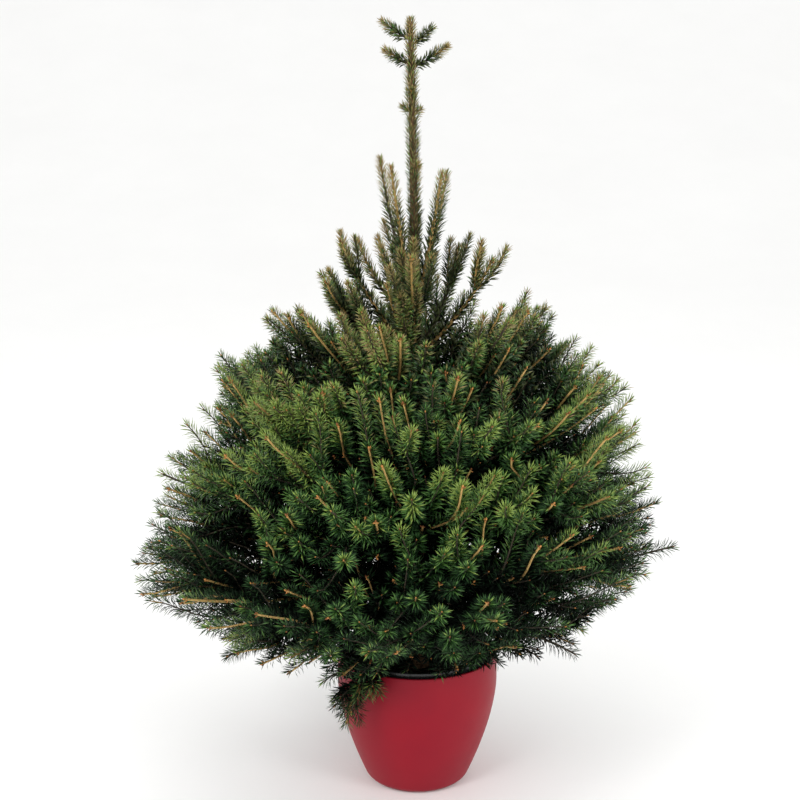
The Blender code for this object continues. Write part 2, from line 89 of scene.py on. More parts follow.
def screen_colour(red: float, green: float, blue: float) -> tuple[float, float, float, float]:
    """Turn a screen colour into the linear one that a shader takes.

    Args:
        red: Red level from 0 to 255.
        green: Green level from 0 to 255.
        blue: Blue level from 0 to 255.

    Returns:
        The linear colour with an alpha of 1.
    """
    levels = []
    for level in (red, green, blue):
        share = level / 255.0
        levels.append(share / 12.92 if share <= 0.04045 else ((share + 0.055) / 1.055) ** 2.4)
    return (*levels, 1.0)


def smooth_step(low: float, high: float, value: float | np.ndarray) -> float | np.ndarray:
    """Rise smoothly from 0 at low to 1 at high.

    Args:
        low: Where the rise starts.
        high: Where the rise ends.
        value: The place on the rise, or many places.

    Returns:
        The share, from 0 to 1, of each place.
    """
    share = np.clip((value - low) / (high - low), 0.0, 1.0)
    return share * share * (3.0 - 2.0 * share)


def blend(first: float, last: float, share: float | np.ndarray) -> float | np.ndarray:
    """Value that lies a share of the way from the first to the last."""
    return first + (last - first) * share


class NodeBoard:
    """A node tree that is being wired."""

    def __init__(self, tree: bpy.types.NodeTree) -> None:
        """Keep the tree that the nodes go into."""
        self.tree = tree

    def add(self, kind: str, values: dict | None = None, **settings: object) -> bpy.types.Node:
        """Add a node.

        Args:
            kind: Blender's name of the node type.
            values: Values for its input sockets, by socket name or number.
            settings: Settings of the node itself.

        Returns:
            The new node.
        """
        node = self.tree.nodes.new(kind)
        for name, value in settings.items():
            setattr(node, name, value)
        for socket, value in (values or {}).items():
            node.inputs[socket].default_value = value
        return node

    def wire(self, *wires: tuple[bpy.types.Node, str | int, bpy.types.Node, str | int]) -> None:
        """Wire sockets, each wire a node, its output, the next node and its input."""
        for source, output, target, socket in wires:
            self.tree.links.new(source.outputs[output], target.inputs[socket])


class SharedEffects:
    """Node groups that several materials use, each built once."""

    def __init__(self) -> None:
        """Build the groups."""
        self.mottle = self._mottle()
        self.grain = self._grain()

    @staticmethod
    def _new_group(name: str, inputs: dict[str, tuple[str, object]], output: str) -> tuple:
        """Start a group with named sockets.

        Args:
            name: The group's name.
            inputs: Socket type and default value for each input's name.
            output: Name of the one output, a number.

        Returns:
            The group, its board, its input node and its output node.
        """
        group = bpy.data.node_groups.new(name, "ShaderNodeTree")
        for label, (kind, value) in inputs.items():
            socket = group.interface.new_socket(label, in_out="INPUT", socket_type=kind)
            socket.default_value = value
        group.interface.new_socket(output, in_out="OUTPUT", socket_type="NodeSocketFloat")
        board = NodeBoard(group)
        return group, board, board.add("NodeGroupInput"), board.add("NodeGroupOutput")

    def _mottle(self) -> bpy.types.NodeTree:
        """Soft patches that can be drawn out along an axis, as a mask.

        Returns:
            The group.
        """
        group, board, given, result = self._new_group(
            "mottle",
            {
                "Stretch": ("NodeSocketVector", (1.0, 1.0, 1.0)),
                "Scale": ("NodeSocketFloat", 20.0),
                "Low": ("NodeSocketFloat", 0.4),
                "High": ("NodeSocketFloat", 0.6),
            },
            "Mask",
        )
        place = board.add("ShaderNodeTexCoord")
        drawn = board.add("ShaderNodeMapping")
        patches = board.add("ShaderNodeTexNoise", {"Detail": 6.0, "Roughness": 0.6})
        spread = board.add("ShaderNodeMapRange")
        board.wire(
            (place, "Object", drawn, "Vector"),
            (given, "Stretch", drawn, "Scale"),
            (drawn, "Vector", patches, "Vector"),
            (given, "Scale", patches, "Scale"),
            (patches, "Fac", spread, "Value"),
            (given, "Low", spread, "From Min"),
            (given, "High", spread, "From Max"),
            (spread, "Result", result, "Mask"),
        )
        return group

    def _grain(self) -> bpy.types.NodeTree:
        """Fine bumps with flat-topped cells between them, as a height.

        Returns:
            The group.
        """
        group, board, given, result = self._new_group(
            "grain",
            {
                "Stretch": ("NodeSocketVector", (1.0, 1.0, 1.0)),
                "Scale": ("NodeSocketFloat", 200.0),
                "Cells": ("NodeSocketFloat", 0.5),
            },
            "Height",
        )
        place = board.add("ShaderNodeTexCoord")
        drawn = board.add("ShaderNodeMapping")
        fine = board.add("ShaderNodeTexNoise", {"Detail": 4.0})
        cells = board.add("ShaderNodeTexVoronoi", feature="DISTANCE_TO_EDGE")
        flat = board.add("ShaderNodeMapRange", {"From Max": 0.25})
        both = board.add("ShaderNodeMix", data_type="FLOAT")
        board.wire((place, "Object", drawn, "Vector"), (given, "Stretch", drawn, "Scale"))
        for pattern in (fine, cells):
            board.wire((drawn, "Vector", pattern, "Vector"), (given, "Scale", pattern, "Scale"))
        board.wire(
            (cells, "Distance", flat, "Value"),
            (given, "Cells", both, 0),
            (fine, "Fac", both, 2),
            (flat, "Result", both, 3),
            (both, 0, result, "Height"),
        )
        return group


@dataclass(frozen=True)
class PlainFinish:
    """A finish of one colour, for shapes so small that each is one spot of colour."""

    name: str
    colour: Triple
    roughness: float
    specular: float

    def build(self) -> bpy.types.Material:
        """Make the material.

        Returns:
            The material.
        """
        made = bpy.data.materials.new(self.name)
        made.use_nodes = True
        shader = made.node_tree.nodes["Principled BSDF"]
        shader.inputs["Base Color"].default_value = screen_colour(*self.colour)
        shader.inputs["Roughness"].default_value = self.roughness
        shader.inputs["Specular IOR Level"].default_value = self.specular
        made.diffuse_color = screen_colour(*self.colour)
        return made


@dataclass(frozen=True)
class PatchyFinish:
    """A finish of two colours in soft patches, with a grain in its surface."""

    name: str
    colour: Triple
    patch_colour: Triple
    patch_scale: float
    patch_range: Pair
    roughness: Pair
    grain_scale: float
    grain_depth: float
    stretch: Triple = (1.0, 1.0, 1.0)
    cells: float = 0.5
    specular: float = 0.5

    def build(self, effects: SharedEffects) -> bpy.types.Material:
        """Make the material.

        Args:
            effects: The shared node groups.

        Returns:
            The material.
        """
        made = bpy.data.materials.new(self.name)
        made.use_nodes = True
        board = NodeBoard(made.node_tree)
        shader = made.node_tree.nodes["Principled BSDF"]
        low, high = self.patch_range
        spread = {"Stretch": self.stretch, "Scale": self.patch_scale, "Low": low, "High": high}
        patches = board.add("ShaderNodeGroup", spread, node_tree=effects.mottle)
        relief = {"Stretch": self.stretch, "Scale": self.grain_scale, "Cells": self.cells}
        grain = board.add("ShaderNodeGroup", relief, node_tree=effects.grain)
        ends = {6: screen_colour(*self.colour), 7: screen_colour(*self.patch_colour)}
        colours = board.add("ShaderNodeMix", ends, data_type="RGBA")
        smooth, rough = self.roughness
        gloss = board.add("ShaderNodeMapRange", {"To Min": smooth, "To Max": rough})
        bump = board.add("ShaderNodeBump", {"Strength": 1.0, "Distance": self.grain_depth})
        board.wire(
            (patches, "Mask", colours, 0),
            (colours, 2, shader, "Base Color"),
            (patches, "Mask", gloss, "Value"),
            (gloss, "Result", shader, "Roughness"),
            (grain, "Height", bump, "Height"),
            (bump, "Normal", shader, "Normal"),
        )
        shader.inputs["Specular IOR Level"].default_value = self.specular
        return made


class Finishes:
    """Every material of the plant and its pot."""

    # Needle tones from dark to bright. The tone a needle takes is painted shade and painted light: the
    # darkest deep in the crown, the brightest on lit and high twigs, with random scatter on top.
    NEEDLES = (
        PlainFinish("needle_deep", (5, 12, 6), 0.60, 0.04),
        PlainFinish("needle_dark", (14, 34, 15), 0.50, 0.10),
        PlainFinish("needle_green", (34, 66, 27), 0.42, 0.22),
        PlainFinish("needle_bright", (72, 110, 46), 0.36, 0.45),
        PlainFinish("needle_fresh", (128, 152, 66), 0.36, 0.5),
        PlainFinish("needle_olive_dark", (64, 74, 36), 0.42, 0.25),
        PlainFinish("needle_olive", (112, 112, 58), 0.38, 0.4),
        PlainFinish("needle_bronze", (156, 136, 82), 0.40, 0.5),
    )
    # The darkest bark stands for old wood at a twig's foot and for painted shade on twigs deep in the crown.
    # The paler ones are also painted lighter on lit twigs.
    TWIGS = tuple(
        PatchyFinish(name, colour, patch_colour, 260.0, (0.35, 0.65), roughness, 900.0, depth)
        for name, colour, patch_colour, roughness, depth in (
            ("twig_old", (74, 64, 46), (54, 46, 35), (0.75, 0.9), 0.0004),
            ("twig_tan", (160, 130, 72), (128, 100, 54), (0.6, 0.8), 0.0003),
            ("twig_pale", (208, 174, 106), (176, 138, 78), (0.55, 0.75), 0.0003),
        )
    )
    BUDS = (
        PlainFinish("bud_tan", (186, 126, 66), 0.5, 0.4),
        PlainFinish("bud_brown", (138, 84, 44), 0.5, 0.4),
    )
    BARK = PatchyFinish(
        "spruce_bark", (124, 98, 68), (84, 64, 46), 90.0, (0.38, 0.62), (0.75, 0.92), 420.0, 0.0012,
        stretch=(1.0, 1.0, 0.45), cells=0.65, specular=0.3,
    )
    PLANTER = PatchyFinish(
        "planter_red", (142, 8, 30), (133, 9, 31), 9.0, (0.35, 0.7), (0.44, 0.52), 1400.0, 0.00006,
        cells=0.2, specular=0.22,
    )
    GROWING_POT = PatchyFinish(
        "nursery_pot_black", (22, 24, 25), (30, 31, 31), 40.0, (0.4, 0.7), (0.20, 0.32), 300.0, 0.00008,
        cells=0.3,
    )
    SOIL = PatchyFinish(
        "potting_soil", (58, 44, 33), (30, 23, 18), 120.0, (0.4, 0.6), (0.9, 1.0), 500.0, 0.002,
        specular=0.2,
    )
    FLOOR = PatchyFinish(
        "pale_floor", (250, 250, 249), (247, 247, 246), 1.5, (0.3, 0.7), (0.6, 0.7), 60.0, 0.0001,
        specular=0.3,
    )

    def __init__(self) -> None:
        """Build the materials."""
        effects = SharedEffects()
        self.needles = [finish.build() for finish in self.NEEDLES]
        self.twigs = [finish.build(effects) for finish in self.TWIGS]
        self.buds = [finish.build() for finish in self.BUDS]
        self.bark = self.BARK.build(effects)
        self.planter = self.PLANTER.build(effects)
        self.growing_pot = self.GROWING_POT.build(effects)
        self.soil = self.SOIL.build(effects)
        self.floor = self.FLOOR.build(effects)


def linked(name: str, mesh: bpy.types.Mesh, finishes: list[bpy.types.Material]) -> bpy.types.Object:
    """Put a mesh into the scene as an object with its finishes.

    Args:
        name: Name of the object.
        mesh: The finished mesh.
        finishes: Materials in the order of the mesh's material numbers.

    Returns:
        The object.
    """
    for finish in finishes:
        mesh.materials.append(finish)
    made = bpy.data.objects.new(name, mesh)
    bpy.context.scene.collection.objects.link(made)
    return made


def finished(shape: bmesh.types.BMesh, name: str, finish: bpy.types.Material) -> bpy.types.Object:
    """Turn a bmesh into an object with smooth shading.

    Args:
        shape: The shape, which is freed.
        name: Name of the object.
        finish: Its material.

    Returns:
        The object.
    """
    bmesh.ops.recalc_face_normals(shape, faces=shape.faces)
    mesh = bpy.data.meshes.new(name)
    shape.to_mesh(mesh)
    shape.free()
    mesh.shade_smooth()
    mesh.set_sharp_from_angle(angle=math.radians(SHARP_ANGLE))
    return linked(name, mesh, [finish])


def turned(profile: list[Pair], steps: int) -> bmesh.types.BMesh:
    """Turn a profile round the Z axis.

    Args:
        profile: Pairs of a radius and a height, from the axis to the axis.
        steps: Number of steps in the full turn.

    Returns:
        The closed shape.
    """
    shape = bmesh.new()
    verts = [shape.verts.new((radius, 0.0, height)) for radius, height in profile]
    edges = [shape.edges.new(pair) for pair in zip(verts, verts[1:])]
    bmesh.ops.spin(
        shape,
        geom=[*verts, *edges],
        cent=(0, 0, 0),
        axis=(0, 0, 1),
        angle=FULL_TURN,
        steps=steps,
        use_merge=True,
    )
    bmesh.ops.remove_doubles(shape, verts=shape.verts, dist=1e-6)
    return shape


def rounded(corner: Pair, radius: float, first: float, last: float, steps: int) -> list[Pair]:
    """Points of an arc in a profile.

    Args:
        corner: Middle of the arc as radius and height.
        radius: Radius of the arc.
        first: Angle where it starts, from 0 for outwards to 90 for up.
        last: Angle where it ends.
        steps: Number of steps.

    Returns:
        The points.
    """
    points = []
    for i in range(steps + 1):
        turn = math.radians(first + (last - first) * i / steps)
        points.append((corner[0] + radius * math.cos(turn), corner[1] + radius * math.sin(turn)))
    return points


@dataclass
class JoinedMesh:
    """Many small shapes gathered into one mesh of triangles."""

    name: str
    points: list[np.ndarray] = field(default_factory=list)
    triangles: list[np.ndarray] = field(default_factory=list)
    tints: list[np.ndarray] = field(default_factory=list)
    count: int = 0

    def add(self, points: np.ndarray, triangles: np.ndarray, tints: np.ndarray) -> None:
        """Add shapes.

        Args:
            points: Their points, as rows of three.
            triangles: Rows of three numbers of these points.
            tints: The material number of each triangle.
        """
        self.points.append(points)
        self.triangles.append(triangles + self.count)
        self.tints.append(tints)
        self.count += len(points)

    def triangle_count(self) -> int:
        """Number of triangles so far."""
        return sum(len(rows) for rows in self.triangles)

    def build(self, finishes: list[bpy.types.Material]) -> bpy.types.Object:
        """Make the object.

        Args:
            finishes: The materials that the tints number.

        Returns:
            The object.
        """
        points = np.concatenate(self.points)
        triangles = np.concatenate(self.triangles)
        tints = np.concatenate(self.tints)
        mesh = bpy.data.meshes.new(self.name)
        mesh.vertices.add(len(points))
        mesh.vertices.foreach_set("co", points.astype(np.float32).ravel())
        mesh.loops.add(3 * len(triangles))
        mesh.loops.foreach_set("vertex_index", triangles.astype(np.int32).ravel())
        mesh.polygons.add(len(triangles))
        starts = np.arange(0, 3 * len(triangles), 3, dtype=np.int32)
        mesh.polygons.foreach_set("loop_start", starts)
        mesh.polygons.foreach_set("material_index", tints.astype(np.int32))
        mesh.update(calc_edges=True)
        mesh.validate()
        mesh.shade_smooth()
        return linked(self.name, mesh, finishes)


class SmallShape:
    """A small closed shape of a few faces that is set down many times."""

    def __init__(self, shape: bmesh.types.BMesh) -> None:
        """Take the points and triangles of a bmesh.

        Args:
            shape: The shape, which is freed.
        """
        bmesh.ops.recalc_face_normals(shape, faces=shape.faces)
        bmesh.ops.triangulate(shape, faces=shape.faces)
        shape.verts.index_update()
        self.points = np.array([tuple(vert.co) for vert in shape.verts])
        self.triangles = np.array([[vert.index for vert in face.verts] for face in shape.faces])
        shape.free()

    def set_down(
        self, joined: JoinedMesh, feet: np.ndarray, frames: np.ndarray, sizes: np.ndarray, tints: np.ndarray
    ) -> None:
        """Set the shape down at many places of a joined mesh.

        Args:
            joined: The mesh to add to.
            feet: Where the shape's origin goes, in rows.
            frames: For each place, the directions of the shape's x, y and z as three rows.
            sizes: For each place, how much x, y and z grow.
            tints: The material number at each place.
        """
        local = self.points[None, :, :] * sizes[:, None, :]
        points = feet[:, None, :] + np.einsum("kpi,kij->kpj", local, frames)
        offsets = np.arange(len(feet)) * len(self.points)
        triangles = self.triangles[None, :, :] + offsets[:, None, None]
        joined.add(
            points.reshape(-1, 3), triangles.reshape(-1, 3), np.repeat(tints, len(self.triangles))
        )


def needle_shape() -> SmallShape:
    """Make a needle along +Z, ridged on top and widest past its middle.

    Returns:
        The needle, of unit length and width.
    """
    shape = bmesh.new()
    bmesh.ops.create_cone(shape, cap_ends=True, segments=3, radius1=0.5, radius2=0.0, depth=1.0)
    bmesh.ops.translate(shape, vec=(0.0, 0.0, 0.5), verts=shape.verts)
    foot = sorted((vert for vert in shape.verts if vert.co.z < 0.5), key=lambda vert: vert.co.y)
    ridge = max(foot, key=lambda vert: abs(vert.co.x) < 1e-4)
    sides = [vert for vert in foot if vert is not ridge]
    ridge.co = (0.0, 0.0, 0.0)
    for way, vert in zip((-0.5, 0.5), sorted(sides, key=lambda vert: vert.co.x)):
        vert.co = (way, NEEDLE_UNDERSIDE, NEEDLE_WIDEST)
    return SmallShape(shape)


def bud_shape() -> SmallShape:
    """Make a pointed bud along +Z.

    Returns:
        The bud, of unit length and width.
    """
    shape = bmesh.new()
    bmesh.ops.create_cone(
        shape, cap_ends=True, segments=4, radius1=BUD_FOOT_RADIUS, radius2=0.5, depth=BUD_WIDEST
    )
    bmesh.ops.translate(shape, vec=(0.0, 0.0, BUD_WIDEST / 2), verts=shape.verts)
    top = max(shape.faces, key=lambda face: face.calc_center_median().z)
    end = bmesh.ops.extrude_discrete_faces(shape, faces=[top])["faces"][0]
    bmesh.ops.pointmerge(shape, verts=end.verts, merge_co=(0.0, 0.0, 1.0))
    return SmallShape(shape)


@dataclass(frozen=True)
class Pot:
    """Sizes that the planter, the growing pot and the twigs over the rim share."""

    height: float = 0.218
    radius: float = 0.130
    wall: float = 0.0045
    flank_top: float = 0.170
    flank_drop: float = 0.0495
    flank_power: float = 1.6
    flank_foot: float = 0.012
    lip_top: float = 0.224
    off_floor: float = 0.004

    def flank(self, height: float) -> float:
        """Outer radius at a height."""
        below = max(0.0, self.flank_top - height) / self.flank_top
        return self.radius - self.flank_drop * below**self.flank_power

    def foot(self, steps: int) -> list[Pair]:
        """Arc that carries the flank on, with no corner, to the flat underside.

        Args:
            steps: Number of steps.

        Returns:
            Pairs of a radius and a height, without the flank's own last one.
        """
        below = (self.flank_top - self.flank_foot) / self.flank_top
        slope = self.flank_drop * self.flank_power / self.flank_top * below ** (self.flank_power - 1.0)
        lean = math.atan(slope)
        radius = self.flank_foot / (1.0 - math.sin(lean))
        middle = (self.flank(self.flank_foot) - radius * math.cos(lean), radius)
        return rounded(middle, radius, -math.degrees(lean), -90, steps)[1:]

    def keeps_off(self, spot: Vector, margin: float) -> bool:
        """Whether a point is outside the pot and above the floor.

        Args:
            spot: The point.
            margin: How far off the pot it has to be.

        Returns:
            True if it is clear.
        """
        if spot.z < self.off_floor:
            return False
        if spot.z > self.lip_top + margin:
            return True
        return math.hypot(spot.x, spot.y) > self.flank(max(0.0, spot.z)) + margin


@dataclass(frozen=True)
class TrunkPlan:
    """Line and thickness of the trunk."""

    foot: float = 0.1903
    tip: float = 1.208
    butt_radius: float = 0.0135
    tip_radius: float = 0.0042
    taper: float = 1.25
    flare_radius: float = 0.0075
    flare_fade: float = 0.012
    lean: float = -0.0128

    def share(self, height: float) -> float:
        """How far up the trunk a height is, from 0 to 1."""
        return (height - self.foot) / (self.tip - self.foot)

    def radius(self, height: float) -> float:
        """Work out the radius, with the root flare.

        Args:
            height: Where on the trunk.

        Returns:
            The radius there.
        """
        share = min(1.0, max(0.0, self.share(height)))
        taper = (self.butt_radius - self.tip_radius) * (1.0 - share) ** self.taper
        flare = self.flare_radius * math.exp(-(height - self.foot) / self.flare_fade)
        return self.tip_radius + taper + flare

    def axis(self, height: float) -> Vector:
        """Middle of the trunk at a height."""
        return Vector((self.lean * self.share(height) ** 2, 0.0, height))


@dataclass(frozen=True)
class CrownOutline:
    """How far the crown reaches from its axis.

    The table's rows are a height, the mean reach there, and how much fuller the left side is than the mean.
    """

    table: tuple[Triple, ...] = (
        (0.10, 0.130, 0.00),
        (0.14, 0.240, 0.07),
        (0.20, 0.285, 0.10),
        (0.28, 0.360, 0.11),
        (0.35, 0.408, 0.14),
        (0.42, 0.427, 0.05),
        (0.535, 0.394, 0.05),
        (0.60, 0.368, 0.03),
        (0.70, 0.318, 0.03),
        (0.76, 0.262, 0.05),
        (0.80, 0.190, 0.02),
        (0.92, 0.120, 0.00),
        (1.03, 0.080, 0.00),
    )
    front_lift: float = 0.13
    lifted_below: float = 0.42
    lifted_from: float = 0.28

    def reaches(self, spots: np.ndarray) -> np.ndarray:
        """Work out how far the crown goes at the heights and on the sides of many points.

        Args:
            spots: The points, in rows.

        Returns:
            The crown's reach at each.
        """
        outward = np.maximum(np.hypot(spots[:, 0], spots[:, 1]), 1e-6)
        facing = np.maximum(0.0, -spots[:, 1] / outward)
        lift = self.front_lift * facing * smooth_step(self.lifted_below, self.lifted_from, spots[:, 2])
        heights, reaches, fuller = zip(*self.table)
        level = spots[:, 2] - lift
        side = np.interp(level, heights, fuller)
        return np.interp(level, heights, reaches) * (1.0 - side * spots[:, 0] / outward)

    def depths(self, spots: np.ndarray) -> np.ndarray:
        """How far out each point is, from 0 on the axis to 1 at the outline."""
        return np.hypot(spots[:, 0], spots[:, 1]) / self.reaches(spots)

    def reach(self, spot: Vector) -> float:
        """How far out the crown goes at one point's height and side."""
        return float(self.reaches(np.array([tuple(spot)]))[0])

    def depth(self, spot: Vector) -> float:
        """How far out one point is, from 0 on the axis to 1 at the outline."""
        return math.hypot(spot.x, spot.y) / self.reach(spot)


@dataclass(frozen=True)
class Whorl:
    """A ring of limbs: the solids' sizes, then how thickly it is set with twigs.

    Bare is the share of a limb that bears nothing. Plenty multiplies the usual number of twigs. Inner is how
    many thin branches stand on the trunk above the whorl. Orders is how many times the twigs branch.
    """

    name: str
    height: float
    azimuths: tuple[int, ...]
    rise_foot: float
    rise_tip: float
    reach: float
    bare: float
    plenty: float = 1.0
    inner: int = 0
    orders: int = 2


WHORLS = (
    Whorl("drooping", 0.262, (236,), 14, -72, 0.225, 0.44, 1.0, 0),
    Whorl("front", 0.278, (292,), 22, 2, 0.190, 0.34, 1.5, 6),
    Whorl("skirt", 0.275, (199, 130, 54, 350), 8, -30, 0.345, 0.34, 1.0, 12),
    Whorl("low", 0.345, (344, 44, 106, 167, 224, 286), 0, 20, 0.435, 0.22, 0.7, 12),
    Whorl("middle", 0.430, (13, 72, 134, 196, 255, 314), 4, 31, 0.400, 0.0, 0.65, 12),
    Whorl("high", 0.520, (343, 42, 103, 164, 223, 284), 10, 41, 0.358, 0.0, 0.6, 9),
    Whorl("upper", 0.615, (12, 74, 131, 196, 254, 313), 24, 54, 0.280, 0.0, 0.6, 5, 1),
    Whorl("crest", 0.700, (338, 48, 120, 192, 266), 44, 66, 0.210, 0.0, 0.5, 2, 1),
    Whorl("top", 0.775, (18, 92, 168, 236, 306), 70, 79, 0.225, 0.0, 0.0, 0, 0),
)


@dataclass(frozen=True)
class LimbPlan:
    """How a whorl's limbs are drawn from seeded chances, as in the solids."""

    fuller_side: float = 0.07
    azimuth_jitter: float = 4.0
    rise_jitter: float = 3.0
    reach_jitter: float = 0.035
    steps: int = 8
    bough_foot_radius: float = 0.0050
    bough_tip_radius: float = 0.0034
    stem_tip_radius: float = 0.0016

    @staticmethod
    def direction(azimuth: float, rise: float) -> Vector:
        """Unit vector out at an azimuth and up by a rise."""
        around, up = math.radians(azimuth), math.radians(rise)
        return Vector((math.cos(up) * math.cos(around), math.cos(up) * math.sin(around), math.sin(up)))

    def line(
        self, start: Vector, azimuth: float, rises: Pair, length: float, steps: int
    ) -> list[Vector]:
        """Points of a limb whose rise turns evenly.

        Args:
            start: Its foot.
            azimuth: Where it points, seen from above.
            rises: Its rise at the foot and at the tip.
            length: Its length.
            steps: Number of equal steps.

        Returns:
            The points from foot to tip.
        """
        points = [start.copy()]
        for i in range(steps):
            rise = rises[0] + (rises[1] - rises[0]) * (i + 0.5) / steps
            points.append(points[-1] + self.direction(azimuth, rise) * (length / steps))
        return points

    def limbs(self, whorl: Whorl, trunk: TrunkPlan) -> list[tuple[int, float, list[Vector]]]:
        """Each limb of a whorl.

        Args:
            whorl: The whorl.
            trunk: The trunk that it stands on.

        Returns:
            The number, azimuth and line of each limb.
        """
        found = []
        for number, planned in enumerate(whorl.azimuths, start=1):
            chance = random.Random(f"{whorl.name} {number}")
            azimuth = planned + chance.uniform(-self.azimuth_jitter, self.azimuth_jitter)
            tilt = chance.uniform(-self.rise_jitter, self.rise_jitter)
            reach = whorl.reach * (1.0 + chance.uniform(-self.reach_jitter, self.reach_jitter))
            reach *= 1.0 - self.fuller_side * math.cos(math.radians(azimuth))
            rises = (whorl.rise_foot + tilt, whorl.rise_tip + tilt)
            start = trunk.axis(whorl.height)
            found.append((number, azimuth, self.line(start, azimuth, rises, reach, self.steps)))
        return found


def along(points: list[Vector], share: float) -> tuple[Vector, Vector]:
    """Point and direction at a share of a line's length.

    Args:
        points: Evenly spaced points.
        share: From 0 to 1.

    Returns:
        The point and the unit direction there.
    """
    place = min(max(share, 0.0), NEARLY_ALL) * (len(points) - 1)
    i = int(place)
    step = points[i + 1] - points[i]
    return points[i] + step * (place - i), step.normalized()


def part_of_line(points: list[Vector], first: float, last: float, count: int) -> list[Vector]:
    """Evenly spaced points over a share of a line."""
    return [along(points, first + (last - first) * i / (count - 1))[0] for i in range(count)]


def line_length(points: list[Vector]) -> float:
    """Length of a line of points."""
    return sum((b - a).length for a, b in zip(points, points[1:]))


class Side(Enum):
    """Where a twig stands on the twig before."""

    LEFT = "left"
    RIGHT = "right"
    ABOVE = "above"
    BELOW = "below"


@dataclass
class Shoot:
    """One unbranched twig.

    Order counts the branchings from the trunk. Upright, light and gold run from 0 to 1. Pale is above 0 for
    a bold twig and below 0 for a plain one. Parting is the share of the turn round the twig that needles
    take. Bare is the share of its foot without needles. Patch is lighter or darker by place. Home names the
    part of the crown that it is joined into. Nodes are the shares of its length where twigs stand on it.
    """

    line: list[Vector]
    foot_radius: float
    tip_radius: float
    order: int
    upright: float = 0.0
    light: float = 0.0
    gold: float = 0.0
    pale: float = 0.0
    parting: float = 0.8
    bare: float = 0.0
    needle_length: float = 0.0210
    crowding: float = 1.0
    patch: float = 0.0
    home: str = ""
    nodes: list[float] = field(default_factory=list)

    def length(self) -> float:
        """Length from foot to tip."""
        return line_length(self.line)

    def rows(self) -> np.ndarray:
        """Points of its line in rows."""
        return np.array([tuple(point) for point in self.line])

    def radius(self, share: float | np.ndarray) -> float | np.ndarray:
        """Radius at a share of its length."""
        return blend(self.foot_radius, self.tip_radius, share)


@dataclass(frozen=True)
class TwigOrder:
    """How the twigs of one order stand on the twig before."""

    spacing: float
    first: float
    last: float
    angle_foot: float
    angle_tip: float
    jitter: float
    lift: float
    length_share: float
    shortening: float
    upper_chance: float
    lower_chance: float
    shortest: float
    foot_radius: float
    tip_radius: float


SIDE_TWIGS = TwigOrder(0.042, 0.10, 0.88, 52, 34, 9, 34, 0.62, 0.40, 0.75, 0.45, 0.050, 0.0016, 0.0010)
FINE_TWIGS = TwigOrder(0.052, 0.25, 0.75, 46, 34, 9, 30, 0.62, 0.30, 0.30, 0.15, 0.045, 0.0012, 0.0009)
ORDERS = (SIDE_TWIGS, FINE_TWIGS)


@dataclass(frozen=True)
class Flow:
    """The way that twigs turn to: outwards, and upwards by a rise that grows with height.

    Towards the front, where the crown is lifted, they rise more.
    """

    rises: tuple[Pair, ...] = (
        (0.20, -34.0),
        (0.28, -14.0),
        (0.36, 2.0),
        (0.45, 17.0),
        (0.55, 32.0),
        (0.65, 46.0),
        (0.75, 62.0),
        (0.85, 76.0),
    )
    front_rise: float = 17.0
    level_off: Pair = (0.75, 0.50)

    def at(self, spot: Vector) -> Vector:
        """Find the way that twigs turn to.

        Args:
            spot: Where in the crown.

        Returns:
            The unit vector of that way.
        """
        heights, rises = zip(*self.rises)
        rise = float(np.interp(spot.z, heights, rises))
        facing = max(0.0, -spot.y / max(math.hypot(spot.x, spot.y), 1e-6))
        rise += self.front_rise * facing * smooth_step(*self.level_off, spot.z)
        return LimbPlan.direction(math.degrees(math.atan2(spot.y, spot.x)), rise)


# The sprig over the rim turns down by these rises, and its twigs are shorter and closer than the others'.
HANGING = ((0.0, -62.0), (0.30, -40.0))
HANGING_ORDERS = (
    replace(SIDE_TWIGS, spacing=0.020, length_share=0.50, shortest=0.028),
    replace(FINE_TWIGS, spacing=0.030, shortest=0.028),
)
# A twig is judged for light, gold and patches at this share of its length.
LIT_SHARE = 0.8


